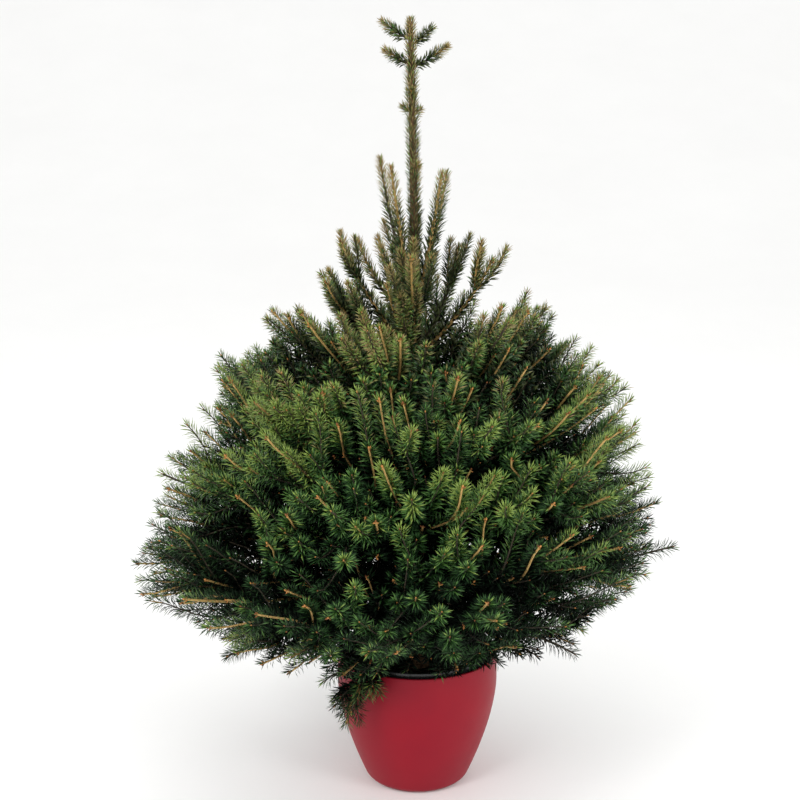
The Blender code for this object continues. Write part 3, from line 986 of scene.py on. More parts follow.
@dataclass
class Grower:
    """Carries limbs on to fine twigs, inside the crown's outline and clear of the pot."""

    outline: CrownOutline
    pot: Pot
    flow: Flow = Flow()
    step: float = 0.018
    fewest_steps: int = 3
    wander: float = 0.035
    bending: float = 0.85
    bends_from: float = 0.10
    ragged: Pair = (0.84, 0.99)
    tries: tuple[float, ...] = (1.0, 0.86, 0.72, 0.60, 0.48)
    pot_margin: float = 0.006
    gold_between: Pair = (0.60, 0.88)
    upright_between: Pair = (0.70, 0.86)
    steep_between: Pair = (0.55, 0.90)
    parting: Pair = (0.84, 1.0)
    bold_from: float = 0.060
    bold_straight: float = 0.975
    bold_share: float = 0.30
    bold_parting: Pair = (0.60, 0.74)
    bold_pale: Pair = (0.20, 0.50)
    bold_radius: float = 0.0020
    bold_taper: float = 0.8
    plain_pale: Pair = (-0.80, -0.15)
    open_between: Pair = (0.58, 0.78)
    open_light: float = 0.9
    open_crowding: float = 0.45
    open_shortening: float = 0.0035
    whorl_gap: float = 0.085
    inner_scatter: Pair = (0.1, 0.9)
    inner_share: Pair = (0.55, 0.95)
    inner_ragged: Pair = (0.85, 1.0)
    inner_turn: float = 20
    inner_rise: Pair = (-22, 26)
    inner_radius: float = 0.0022
    inner_bare: float = 0.12
    above_length: float = 0.80
    below_length: float = 0.62
    length_scatter: Pair = (0.86, 1.10)
    lift_scatter: Pair = (-0.8, 1.0)
    swing: float = 0.7
    past_tip: Pair = (1.05, 0.020)
    thickening: Pair = (0.72, 2.2)
    past_bare: float = 0.02
    node_scatter: Pair = (0.2, 0.8)
    node_slip: float = 0.02
    bears_from: float = 2.0
    lowest: float = 0.0
    shade: float = 1.0
    patch_size: float = 0.12

    def mark(self, shoot: Shoot, chance: random.Random) -> Shoot:
        """Note how much light a twig has, how golden and how pale it is, and whether it is bold.

        Args:
            shoot: The twig.
            chance: Source of its parting and paleness.

        Returns:
            The same twig.
        """
        middle, ahead = along(shoot.line, LIT_SHARE)
        open_top = smooth_step(*self.open_between, middle.z)
        shoot.light = self.shade * min(1.0, max(self.outline.depth(middle), self.open_light * open_top))
        shoot.gold = smooth_step(*self.gold_between, middle.z)
        steep = smooth_step(*self.steep_between, ahead.z)
        shoot.upright = steep * smooth_step(*self.upright_between, middle.z)
        straight = (shoot.line[-1] - shoot.line[0]).length / shoot.length()
        strong = shoot.length() > self.bold_from and straight > self.bold_straight
        bold = strong and chance.random() < self.bold_share
        shoot.parting = chance.uniform(*(self.bold_parting if bold else self.parting))
        shoot.pale = chance.uniform(*(self.bold_pale if bold else self.plain_pale))
        if bold:
            shoot.foot_radius = max(shoot.foot_radius, self.bold_radius)
            shoot.tip_radius = max(shoot.tip_radius, self.bold_taper * self.bold_radius)
        shoot.patch = noise.noise(middle / self.patch_size)
        shoot.crowding = 1.0 + self.open_crowding * open_top
        shoot.needle_length -= self.open_shortening * open_top
        return shoot

    def fits(self, line: list[Vector], ragged: float) -> bool:
        """Tell whether a line stays in the crown and off the pot.

        Args:
            line: Its points.
            ragged: How far out it may go, where 1 is the outline.

        Returns:
            True if it does.
        """
        spots = np.array([tuple(spot) for spot in line[1:]])
        if (self.outline.depths(spots) > ragged).any() or (spots[:, 2] < self.lowest).any():
            return False
        return all(self.pot.keeps_off(spot, self.pot_margin) for spot in line[1:])

    def twig_line(self, foot: Vector, heading: Vector, length: float, chance: random.Random) -> list[Vector]:
        """Points of a twig that wanders a little and turns to the crown's flow.

        Args:
            foot: Where it starts.
            heading: Its first direction.
            length: Its length.
            chance: Source of its wander.

        Returns:
            The points.
        """
        steps = max(self.fewest_steps, round(length / self.step))
        points, ahead = [foot.copy()], heading.copy()
        share = 1.0 - (1.0 - self.bending) ** (1.0 / steps)
        share *= min(1.0, length / self.bends_from)
        for _ in range(steps):
            drift = Vector([chance.gauss(0.0, self.wander) for _ in range(3)])
            wanted = self.flow.at(points[-1])
            drift *= self.fewest_steps / steps
            ahead = (ahead + (wanted - ahead) * share + drift).normalized()
            points.append(points[-1] + ahead * (length / steps))
        return points

    def carry_on(
        self, parent: Shoot, orders: tuple[TwigOrder, ...], plenty: float, chance: random.Random
    ) -> list[Shoot]:
        """Grow side twigs on a twig, and finer twigs on these.

        Args:
            parent: The twig to grow on.
            orders: The orders still to grow, the next one first.
            plenty: How many times the usual number of twigs it bears.
            chance: Source of every choice.

        Returns:
            The twigs that fit.
        """
        if not orders or not plenty:
            return []
        order, grown = orders[0], []
        whole = parent.length()
        free = max(order.first, parent.bare + self.past_bare)
        count = max(1, int(whole * (order.last - free) * plenty / order.spacing))
        for i in range(count):
            share = free + (order.last - free) * (i + chance.uniform(*self.node_scatter)) / count
            parent.nodes.append(share)
            sides = [Side.LEFT, Side.RIGHT]
            if chance.random() < order.upper_chance:
                sides.append(Side.ABOVE)
            if chance.random() < order.lower_chance:
                sides.append(Side.BELOW)
            for side in sides:
                place = share + chance.uniform(0.0, self.node_slip)
                twig = self.side_twig(parent, place, side, order, chance)
                if twig is None:
                    continue
                grown.append(twig)
                if twig.length() > self.bears_from * order.shortest:
                    grown += self.carry_on(twig, orders[1:], plenty, chance)
        return grown

    def between(self, whorl: Whorl, trunk: TrunkPlan, chance: random.Random) -> list[Shoot]:
        """Grow the thin branches that stand on the trunk above a whorl, with their twigs.

        Args:
            whorl: The whorl below them.
            trunk: The trunk.
            chance: Source of every choice.

        Returns:
            The twigs that fit.
        """
        grown = []
        for i in range(whorl.inner):
            place = i + chance.uniform(*self.inner_scatter)
            height = whorl.height + (self.whorl_gap * place) / whorl.inner
            turn = chance.uniform(-self.inner_turn, self.inner_turn)
            azimuth = math.degrees(GOLDEN_ANGLE) * i + whorl.azimuths[0] + turn
            rise = 0.5 * (whorl.rise_foot + whorl.rise_tip) + chance.uniform(*self.inner_rise)
            foot, heading = trunk.axis(height), LimbPlan.direction(azimuth, rise)
            length = whorl.reach * chance.uniform(*self.inner_share)
            seed, ragged = chance.random(), chance.uniform(*self.inner_ragged)
            for shrink in self.tries:
                line = self.twig_line(foot, heading, length * shrink, random.Random(seed))
                if self.fits(line, ragged):
                    stem = Shoot(line, self.inner_radius, SIDE_TWIGS.tip_radius, 2, bare=self.inner_bare)
                    grown.append(self.mark(stem, chance))
                    grown += self.carry_on(stem, ORDERS[1:], 1.0, chance)
                    break
        return grown

    @staticmethod
    def sky_of(foot: Vector, ahead: Vector) -> Vector:
        """Find the upper side of a twig, or the side nearer the trunk where it is steep.

        Args:
            foot: A point of the twig.
            ahead: Its direction there.

        Returns:
            The unit vector out of that side.
        """
        sky = UP - ahead * ahead.z
        if sky.length < STEEP_SKY:
            outward = Vector((foot.x, foot.y, 0.0))
            sky = (outward - ahead * outward.dot(ahead)) * -1.0
            if sky.length < 1e-3:
                sky = ahead.orthogonal()
        return sky.normalized()

    def side_twig(
        self, parent: Shoot, share: float, side: Side, order: TwigOrder, chance: random.Random
    ) -> Shoot | None:
        """Grow one side twig, shortened until it fits.

        Args:
            parent: The twig it stands on.
            share: How far along the parent.
            side: Where on the parent.
            order: Its order.
            chance: Source of its choices.

        Returns:
            The twig, or None if it would be too short.
        """
        foot, ahead = along(parent.line, share)
        sky = self.sky_of(foot, ahead)
        across = sky.cross(ahead)
        angle = blend(order.angle_foot, order.angle_tip, share)
        bend = math.radians(angle + chance.uniform(-order.jitter, order.jitter))
        lift = math.radians(chance.uniform(*self.lift_scatter) * order.lift)
        length = parent.length() * order.length_share * (1.0 - order.shortening * share)
        remaining = parent.length() * (1.0 - share)
        factor, extra = self.past_tip
        length = min(length, remaining * factor + extra) * chance.uniform(*self.length_scatter)
        if side in (Side.LEFT, Side.RIGHT):
            way = 1.0 if side is Side.LEFT else -1.0
            out = ahead * math.cos(bend) + across * (way * math.sin(bend))
            out = out * math.cos(lift) + sky * math.sin(lift)
        else:
            way = 1.0 if side is Side.ABOVE else -1.0
            swing = chance.uniform(-self.swing, self.swing)
            out = ahead * math.cos(bend) + (sky * way + across * swing).normalized() * math.sin(bend)
            length *= self.above_length if side is Side.ABOVE else self.below_length
        ragged = chance.uniform(*self.ragged)
        seed = chance.random()
        for shrink in self.tries:
            if length * shrink < order.shortest:
                return None
            line = self.twig_line(foot, out.normalized(), length * shrink, random.Random(seed))
            if self.fits(line, ragged):
                thinnest, per_metre = self.thickening
                radius = order.foot_radius * min(1.0, thinnest + length * shrink * per_metre)
                twig = Shoot(line, radius, order.tip_radius, parent.order + 1)
                return self.mark(twig, chance)
        return None


@dataclass
class GapFiller:
    """Gives the twigs around an empty spot of the crown one more shoot that reaches into it."""

    grower: Grower
    layers: tuple[tuple[float, int], ...] = (
        (0.93, 1100),
        (0.80, 900),
        (0.68, 850),
        (0.56, 800),
        (0.44, 700),
        (0.30, 450),
        (0.16, 200),
    )
    heights: Pair = (0.225, 0.72)
    room: float = 0.026
    shortest: float = 0.055
    longest: float = 0.180
    favoured: float = 0.105
    hollow_from: float = 0.75
    hollow_size: float = 0.075
    hollow_below: float = -0.12
    grasp: int = 80
    steepest: float = 70.0
    batches: int = 5
    foot_radius: float = 0.0014
    tip_radius: float = 0.0010
    sample_step: float = 0.012
    fewest_steps: int = 4
    full_at: float = 0.42
    depth_scatter: Pair = (-0.09, 0.05)
    past_depth: float = 0.08
    length_cost: float = 6.0
    fork_cost: float = 0.6
    fork_angle: float = 38
    first_pull: float = 0.40
    last_pull: float = 0.35

    def samples(self, shoots: list[Shoot]) -> list[tuple[Vector, Vector, str]]:
        """Take evenly spaced points of shoots.

        Args:
            shoots: The shoots.

        Returns:
            The points, with the direction and the home of each.
        """
        found = []
        for shoot in shoots:
            count = max(2, int(shoot.length() / self.sample_step))
            found += [(*along(shoot.line, (i + 0.5) / count), shoot.home) for i in range(count)]
        return found

    def spots(self) -> list[tuple[Vector, float]]:
        """Strew places to test evenly over shells inside the crown's outline.

        Returns:
            Each place, and how far out a shoot to it may go.
        """
        found, outline = [], self.grower.outline
        low, high = self.heights
        for layer, (depth, count) in enumerate(self.layers):
            chance = random.Random(f"layer {layer}")
            for i in range(count):
                height = low + (high - low) * (i + 0.5) / count
                azimuth = GOLDEN_ANGLE * i
                ray = Vector((math.cos(azimuth), math.sin(azimuth), height))
                if chance.random() > min(1.0, outline.reach(ray) / self.full_at):
                    continue
                radius = outline.reach(ray) * (depth + chance.uniform(*self.depth_scatter))
                spot = Vector((ray.x * radius, ray.y * radius, height))
                if depth > self.hollow_from and noise.noise(spot / self.hollow_size) < self.hollow_below:
                    continue
                found.append((spot, depth + self.past_depth))
        random.Random("order of spots").shuffle(found)
        return found

    def reach_for(
        self,
        spot: Vector,
        ragged: float,
        tree: kdtree.KDTree,
        wood: list[tuple[Vector, Vector, str]],
        chance: random.Random,
    ) -> Shoot | None:
        """Grow a shoot to a spot from the twig that suits it best.

        Args:
            spot: Where the shoot ends.
            ragged: How far out it may go.
            tree: Search tree over the wood.
            wood: Points, directions and homes of the wood there is.
            chance: Source of its choices.

        Returns:
            The shoot, or None where no twig can bear it.
        """
        wanted = self.grower.flow.at(spot)
        best, best_cost = None, math.inf
        for place, index, gap in tree.find_n(spot, self.grasp):
            if not self.shortest < gap < self.longest:
                continue
            heading = (spot - place).normalized()
            off_flow = heading.angle(wanted)
            off_twig = heading.angle(wood[index][1])
            if max(off_flow, off_twig) > math.radians(self.steepest):
                continue
            off_fork = abs(off_twig - math.radians(self.fork_angle))
            cost = abs(gap - self.favoured) * self.length_cost + off_flow + self.fork_cost * off_fork
            if cost < best_cost:
                best, best_cost = index, cost
        if best is None:
            return None
        foot, ahead, home = wood[best]
        reach = (spot - foot).length
        first = foot + (ahead * 0.5 + (spot - foot).normalized() * 0.5) * (self.first_pull * reach)
        last = spot - wanted * (self.last_pull * reach)
        steps = max(self.fewest_steps, round(reach / self.grower.step))
        line = []
        for i in range(steps + 1):
            t = i / steps
            bent = first * (3 * t * (1 - t) ** 2) + last * (3 * t * t * (1 - t))
            line.append(foot * (1 - t) ** 3 + bent + spot * t**3)
        if not self.grower.fits(line, ragged):
            return None
        shoot = Shoot(line, self.foot_radius, self.tip_radius, 3, home=home)
        return self.grower.mark(shoot, chance)

    def fill(self, shoots: list[Shoot]) -> list[Shoot]:
        """Grow shoots into the crown's empty spots.

        Args:
            shoots: The shoots there are.

        Returns:
            The new shoots.
        """
        wood, chance, grown = self.samples(shoots), random.Random("fill"), []
        spots = self.spots()
        share = math.ceil(len(spots) / self.batches)
        for start in range(0, len(spots), share):
            tree = kdtree.KDTree(len(wood))
            for index, (place, _, _) in enumerate(wood):
                tree.insert(place, index)
            tree.balance()
            fresh = []
            for spot, ragged in spots[start : start + share]:
                nearest = tree.find(spot)[2]
                if fresh:
                    nearest = min(nearest, min((spot - other.line[-1]).length for other in fresh))
                if nearest < self.room:
                    continue
                shoot = self.reach_for(spot, ragged, tree, wood, chance)
                if shoot is not None:
                    fresh.append(shoot)
            wood += self.samples(fresh)
            grown += fresh
        return grown


@dataclass
class NeedleDresser:
    """Sets needles on twigs, fewer and wider ones deep inside the crown.

    The colours run from dark to bright by a level, which the gains below raise with light, patch and height.
    The light and height gains paint shade on needles deep in the crown and paint light on its outside and
    top.
    """

    outline: CrownOutline
    pot: Pot
    inside: float = 0.58
    outside: float = 0.88
    width_outside: float = 0.0018
    width_inside: float = 0.0050
    thickness: float = 0.9
    longer_inside: float = 1.15
    length_at_node: float = 0.74
    length_scatter: Pair = (0.82, 1.10)
    width_scatter: Pair = (0.85, 1.1)
    per_metre_outside: float = 1500.0
    per_metre_inside: float = 440.0
    fewest: int = 4
    lean_above: float = 48.0
    lean_beside: float = 63.0
    lean_round: float = 40.0
    lean_growth: float = 2.2
    lean_jitter: float = 6.0
    turn_jitter: float = 0.10
    steep_under: float = 0.2
    sunk: float = 0.7
    tip_zone: float = 0.012
    tip_closing: float = 0.5
    shortest_zoned: float = 0.02
    level_base: float = -1.6
    light_gain: float = 4.4
    patch_gain: float = 1.8
    top_light_gain: float = 2.0
    top_light_between: Pair = (0.30, 0.68)
    tip_gain: float = 0.25
    tip_from: float = 0.7
    tip_rate: float = 4.0
    twig_scatter: float = 0.45
    needle_scatter: float = 0.65
    greens: int = 5
    golds: int = 3
    gold_drop: float = 2.3
    gold_share: float = 0.85
    off_pot: float = 0.0012
    off_lip: float = 0.001
    off_floor: float = 0.002

    def __post_init__(self) -> None:
        """Make the needle that is set down."""
        self.needle = needle_shape()

    def dress(self, shoot: Shoot, joined: JoinedMesh, chance: np.random.Generator) -> int:
        """Set the needles of one twig.

        Args:
            shoot: The twig.
            joined: The mesh to add them to.
            chance: Source of their scatter.

        Returns:
            How many were set.
        """
        length = shoot.length() * (1.0 - shoot.bare)
        share, feet, step, light = self.places(shoot, length, chance)
        if len(share) < self.fewest:
            return 0
        ahead = step / np.linalg.norm(step, axis=1)[:, None]
        near_tip = self.tip_zone / max(length, self.shortest_zoned)
        near_tip = np.clip((share - (1.0 - near_tip)) / near_tip, 0, 1)
        radial, out = self.directions(shoot, ahead, near_tip, chance)
        top = radial - out * (radial * out).sum(1)[:, None]
        top /= np.linalg.norm(top, axis=1)[:, None]
        frames = np.stack([np.cross(top, out), top, out], axis=1)
        feet = feet + radial * (shoot.radius(share) * self.sunk)[:, None]
        sizes = self.sizes(shoot, share, light, chance)
        tints = self.tints(shoot, share, light, feet[:, 2], chance)
        keep = self.clear_of_pot(feet, feet + out * sizes[:, 2:3])
        self.needle.set_down(joined, feet[keep], frames[keep], sizes[keep], tints[keep])
        return int(keep.sum())

    def places(self, shoot: Shoot, length: float, chance: np.random.Generator) -> tuple[np.ndarray, ...]:
        """Choose where on a twig its needles stand, fewer of them where it is dark.

        Args:
            shoot: The twig.
            length: Length of its part with needles.
            chance: Source of their scatter.

        Returns:
            Of each needle the share of the twig's length, the foot, the twig's step there and the light.
        """
        count = int(length * self.per_metre_outside * shoot.crowding)
        share = (np.arange(count) + chance.uniform(0.0, 1.0, count)) / max(count, 1)
        share = blend(shoot.bare, 1.0, share)
        line = shoot.rows()
        place = np.minimum(share, NEARLY_ALL) * (len(line) - 1)
        index = place.astype(int)
        step = line[index + 1] - line[index]
        feet = line[index] + step * (place - index)[:, None]
        own_depth = self.outline.depth(along(shoot.line, LIT_SHARE)[0])
        light = np.clip(shoot.light + self.outline.depths(feet) - own_depth, 0.0, 1.0)
        fill = smooth_step(self.inside, self.outside, light)
        thinnest = self.per_metre_inside / self.per_metre_outside
        set_here = chance.random(count) < blend(thinnest, 1.0, fill)
        return share[set_here], feet[set_here], step[set_here], light[set_here]

    def directions(
        self, shoot: Shoot, ahead: np.ndarray, near_tip: np.ndarray, chance: np.random.Generator
    ) -> tuple[np.ndarray, np.ndarray]:
        """Turn needles round a twig and lean them out from it, less so at its tip.

        Args:
            shoot: The twig.
            ahead: The twig's direction at each needle.
            near_tip: How near each is to the twig's tip, from 0 to 1.
            chance: Source of their scatter.

        Returns:
            The way from the twig's middle to each foot, and the way that each needle points.
        """
        sky = np.array([0.0, 0.0, 1.0]) - ahead * ahead[:, 2:3]
        steep = np.linalg.norm(sky, axis=1) < self.steep_under
        sky[steep] = np.cross(ahead[steep], [0.0, 1.0, 0.0])
        sky /= np.linalg.norm(sky, axis=1)[:, None]
        side = np.cross(sky, ahead)
        count = len(ahead)
        turn = (np.arange(count) * GOLDEN_ANGLE + chance.uniform(0, FULL_TURN)) % FULL_TURN - math.pi
        parting = blend(shoot.parting, 1.0, shoot.upright)
        turn = turn * parting + chance.normal(0.0, self.turn_jitter, count)
        below = np.abs(turn) / math.pi
        lean = blend(self.lean_above, self.lean_beside, np.minimum(1.0, below * self.lean_growth))
        lean = blend(lean, self.lean_round, shoot.upright)
        lean = lean * (1.0 - self.tip_closing * near_tip) + chance.normal(0.0, self.lean_jitter, count)
        lean = np.radians(lean)
        radial = sky * np.cos(turn)[:, None] + side * np.sin(turn)[:, None]
        return radial, ahead * np.cos(lean)[:, None] + radial * np.sin(lean)[:, None]

    def sizes(
        self, shoot: Shoot, share: np.ndarray, light: np.ndarray, chance: np.random.Generator
    ) -> np.ndarray:
        """Work out the needles' sizes, shorter at a twig's nodes and larger inside the crown.

        Args:
            shoot: The twig.
            share: Where each needle stands on it.
            light: The light at each.
            chance: Source of their scatter.

        Returns:
            Width, thickness and length of each, in rows.
        """
        marks = np.array(sorted([shoot.bare, *shoot.nodes, 1.0]))
        after = np.clip(np.searchsorted(marks, share, side="right"), 1, len(marks) - 1)
        within = (share - marks[after - 1]) / np.maximum(marks[after] - marks[after - 1], 1e-6)
        arch = np.sqrt(np.clip(np.sin(np.pi * np.clip(within, 0, 1)), 0, 1))
        rhythm = blend(self.length_at_node, 1.0, arch)
        fill = smooth_step(self.inside, self.outside, light)
        longer = blend(self.longer_inside, 1.0, fill)
        width = blend(self.width_inside, self.width_outside, fill)
        sizes = np.empty((len(share), 3))
        scatter = chance.uniform(*self.length_scatter, len(share))
        sizes[:, 2] = shoot.needle_length * longer * rhythm * scatter
        sizes[:, 0] = width * chance.uniform(*self.width_scatter, len(share))
        sizes[:, 1] = width * self.thickness
        return sizes

    def tints(
        self,
        shoot: Shoot,
        share: np.ndarray,
        light: np.ndarray,
        heights: np.ndarray,
        chance: np.random.Generator,
    ) -> np.ndarray:
        """Deal out the needle colours, the greens first in their list and then the golden ones.

        Args:
            shoot: The twig.
            share: Where each needle stands on it.
            light: The light at each.
            heights: The height of each.
            chance: Source of their scatter.

        Returns:
            The material number of each needle.
        """
        count = len(share)
        # Painted shade and painted light: the level, and so the tone, drops for needles deep in the crown
        # and rises for lit and high ones.
        level = self.light_gain * light**3 + self.level_base + chance.normal(0.0, self.twig_scatter)
        level = level + self.patch_gain * shoot.patch
        level = level + self.top_light_gain * smooth_step(*self.top_light_between, heights)
        level = level + chance.normal(0.0, self.needle_scatter, count)
        level = level + self.tip_gain * np.clip((share - self.tip_from) * self.tip_rate, 0.0, 1.0)
        green = np.clip(np.round(level), 0, self.greens - 1).astype(int)
        golden = np.clip(np.round(level - self.gold_drop), 0, self.golds - 1).astype(int) + self.greens
        return np.where(chance.random(count) < shoot.gold * self.gold_share, golden, green)

    def clear_of_pot(self, feet: np.ndarray, tips: np.ndarray) -> np.ndarray:
        """Tell which needles are clear of the pot's wall, the soil and the floor.

        Args:
            feet: The feet of needles, in rows.
            tips: Their tips.

        Returns:
            True for each that is clear.
        """
        pot, fine = self.pot, np.ones(len(feet), bool)
        for ends in (feet, (feet + tips) / 2, tips):
            outward = np.hypot(ends[:, 0], ends[:, 1])
            below = np.maximum(0.0, pot.flank_top - ends[:, 2]) / pot.flank_top
            flank = pot.radius - pot.flank_drop * below**pot.flank_power
            fine &= ~((ends[:, 2] < pot.lip_top + self.off_lip) & (outward < flank + self.off_pot))
            fine &= ends[:, 2] > self.off_floor
        return fine


@dataclass
class TwigBuilder:
    """Makes the wood of twigs and the buds at their ends.

    The wood is dark at a twig's foot and pale at its tip, and paler on bold twigs. It is also painted paler
    on lit twigs and darker on shaded ones.
    """

    sides: tuple[int, ...] = (6, 4, 3)
    point: float = 1.5
    heel: float = 0.5
    light_gain: float = 1.4
    usual_light: float = 0.88
    pale_gain: float = 1.3
    tan_above: float = 0.45
    pale_above: float = 0.85
    bud_length: float = 0.0060
    bud_width: float = 0.0032
    bud_size: Pair = (0.72, 1.1)
    bud_scatter: Pair = (0.85, 1.1)
    bud_back: float = 0.0022
    bud_aside: float = 0.7
    bud_turn: float = 2.1
    bud_lean: Pair = (36, 52)
    beside_size: float = 0.8
    brown_share: float = 0.45

    def __post_init__(self) -> None:
        """Make the bud that is set down."""
        self.bud = bud_shape()

    @staticmethod
    def frames_of(line: np.ndarray) -> tuple[np.ndarray, np.ndarray, np.ndarray]:
        """Directions along a line: ahead, and two across it.

        Args:
            line: Points in rows.

        Returns:
            Three arrays of unit rows.
        """
        ahead = np.gradient(line, axis=0)
        ahead /= np.linalg.norm(ahead, axis=1)[:, None]
        guide = np.cross(ahead[0], ODD_WAY)
        if np.linalg.norm(guide) < 0.1:
            guide = np.cross(ahead[0], [1.0, 0.0, 0.0])
        first = guide - ahead * (ahead @ guide)[:, None]
        first /= np.linalg.norm(first, axis=1)[:, None]
        return ahead, first, np.cross(ahead, first)

    def wood(self, shoot: Shoot, joined: JoinedMesh) -> None:
        """Add a twig as a tapering tube with a pointed end.

        Args:
            shoot: The twig.
            joined: The mesh to add it to.
        """
        line = shoot.rows()
        sides = self.sides[min(shoot.order, len(self.sides)) - 1]
        ahead, first, second = self.frames_of(line)
        share = np.linspace(0.0, 1.0, len(line))
        radii = shoot.radius(share)
        turn = np.arange(sides) * 2 * math.pi / sides
        spoke = np.cos(turn)[None, :, None] * first[:, None, :]
        spoke = spoke + np.sin(turn)[None, :, None] * second[:, None, :]
        points = line[:, None, :] + spoke * radii[:, None, None]
        tip = line[-1] + ahead[-1] * radii[-1] * self.point
        foot = line[0] - ahead[0] * radii[0] * self.heel
        points = np.concatenate([points.reshape(-1, 3), [tip], [foot]])
        end, last = (len(line) - 1) * sides, len(line) * sides
        rows = np.arange(len(line) - 1)[:, None] * sides
        here, there = np.arange(sides)[None, :], (np.arange(sides)[None, :] + 1) % sides
        one = np.stack([rows + here, rows + there, rows + sides + there], -1).reshape(-1, 3)
        two = np.stack([rows + here, rows + sides + there, rows + sides + here], -1).reshape(-1, 3)
        cap = np.stack([end + here[0], end + there[0], np.full(sides, last)], -1)
        shut = np.stack([there[0], here[0], np.full(sides, last + 1)], -1)
        along_twig = np.repeat(share[:-1], sides)
        pale = np.concatenate([along_twig, along_twig, np.ones(sides), np.zeros(sides)])
        # Painted light and shade: twigs with more light than usual are made paler, and shaded ones darker.
        pale = pale + self.light_gain * (shoot.light - self.usual_light) + self.pale_gain * shoot.pale
        tints = np.where(pale > self.pale_above, 2, np.where(pale > self.tan_above, 1, 0))
        joined.add(points, np.concatenate([one, two, cap, shut]), tints)

    def buds(self, shoot: Shoot, joined: JoinedMesh, chance: np.random.Generator) -> None:
        """Add the end bud of a twig and, on a strong twig, the two beside it.

        Args:
            shoot: The twig.
            joined: The mesh to add them to.
            chance: Source of their scatter.
        """
        ahead, first, second = (rows[-1] for rows in self.frames_of(shoot.rows()))
        bold = shoot.pale > 0.0
        count = 3 if bold and shoot.light > 0.5 else 1
        feet, frames, sizes = [], [], []
        turn = lean = back = aside = 0.0
        for i in range(count):
            size = self.bud_size[bold]
            if i:
                turn = chance.uniform(0, FULL_TURN) if i == 1 else turn + self.bud_turn
                lean = math.radians(chance.uniform(*self.bud_lean))
                back, aside = self.bud_back, shoot.tip_radius * self.bud_aside
                size *= self.beside_size
            size *= chance.uniform(*self.bud_scatter)
            spoke = first * math.cos(turn) + second * math.sin(turn)
            out = ahead * math.cos(lean) + spoke * math.sin(lean)
            across = np.cross(spoke, ahead)
            feet.append(np.array(shoot.line[-1]) - ahead * back + spoke * aside)
            frames.append(np.stack([across, np.cross(out, across), out]))
            sizes.append((self.bud_width * size, self.bud_width * size, self.bud_length * size))
        tints = (chance.random(count) < self.brown_share).astype(int)
        self.bud.set_down(joined, np.array(feet), np.array(frames), np.array(sizes), tints)


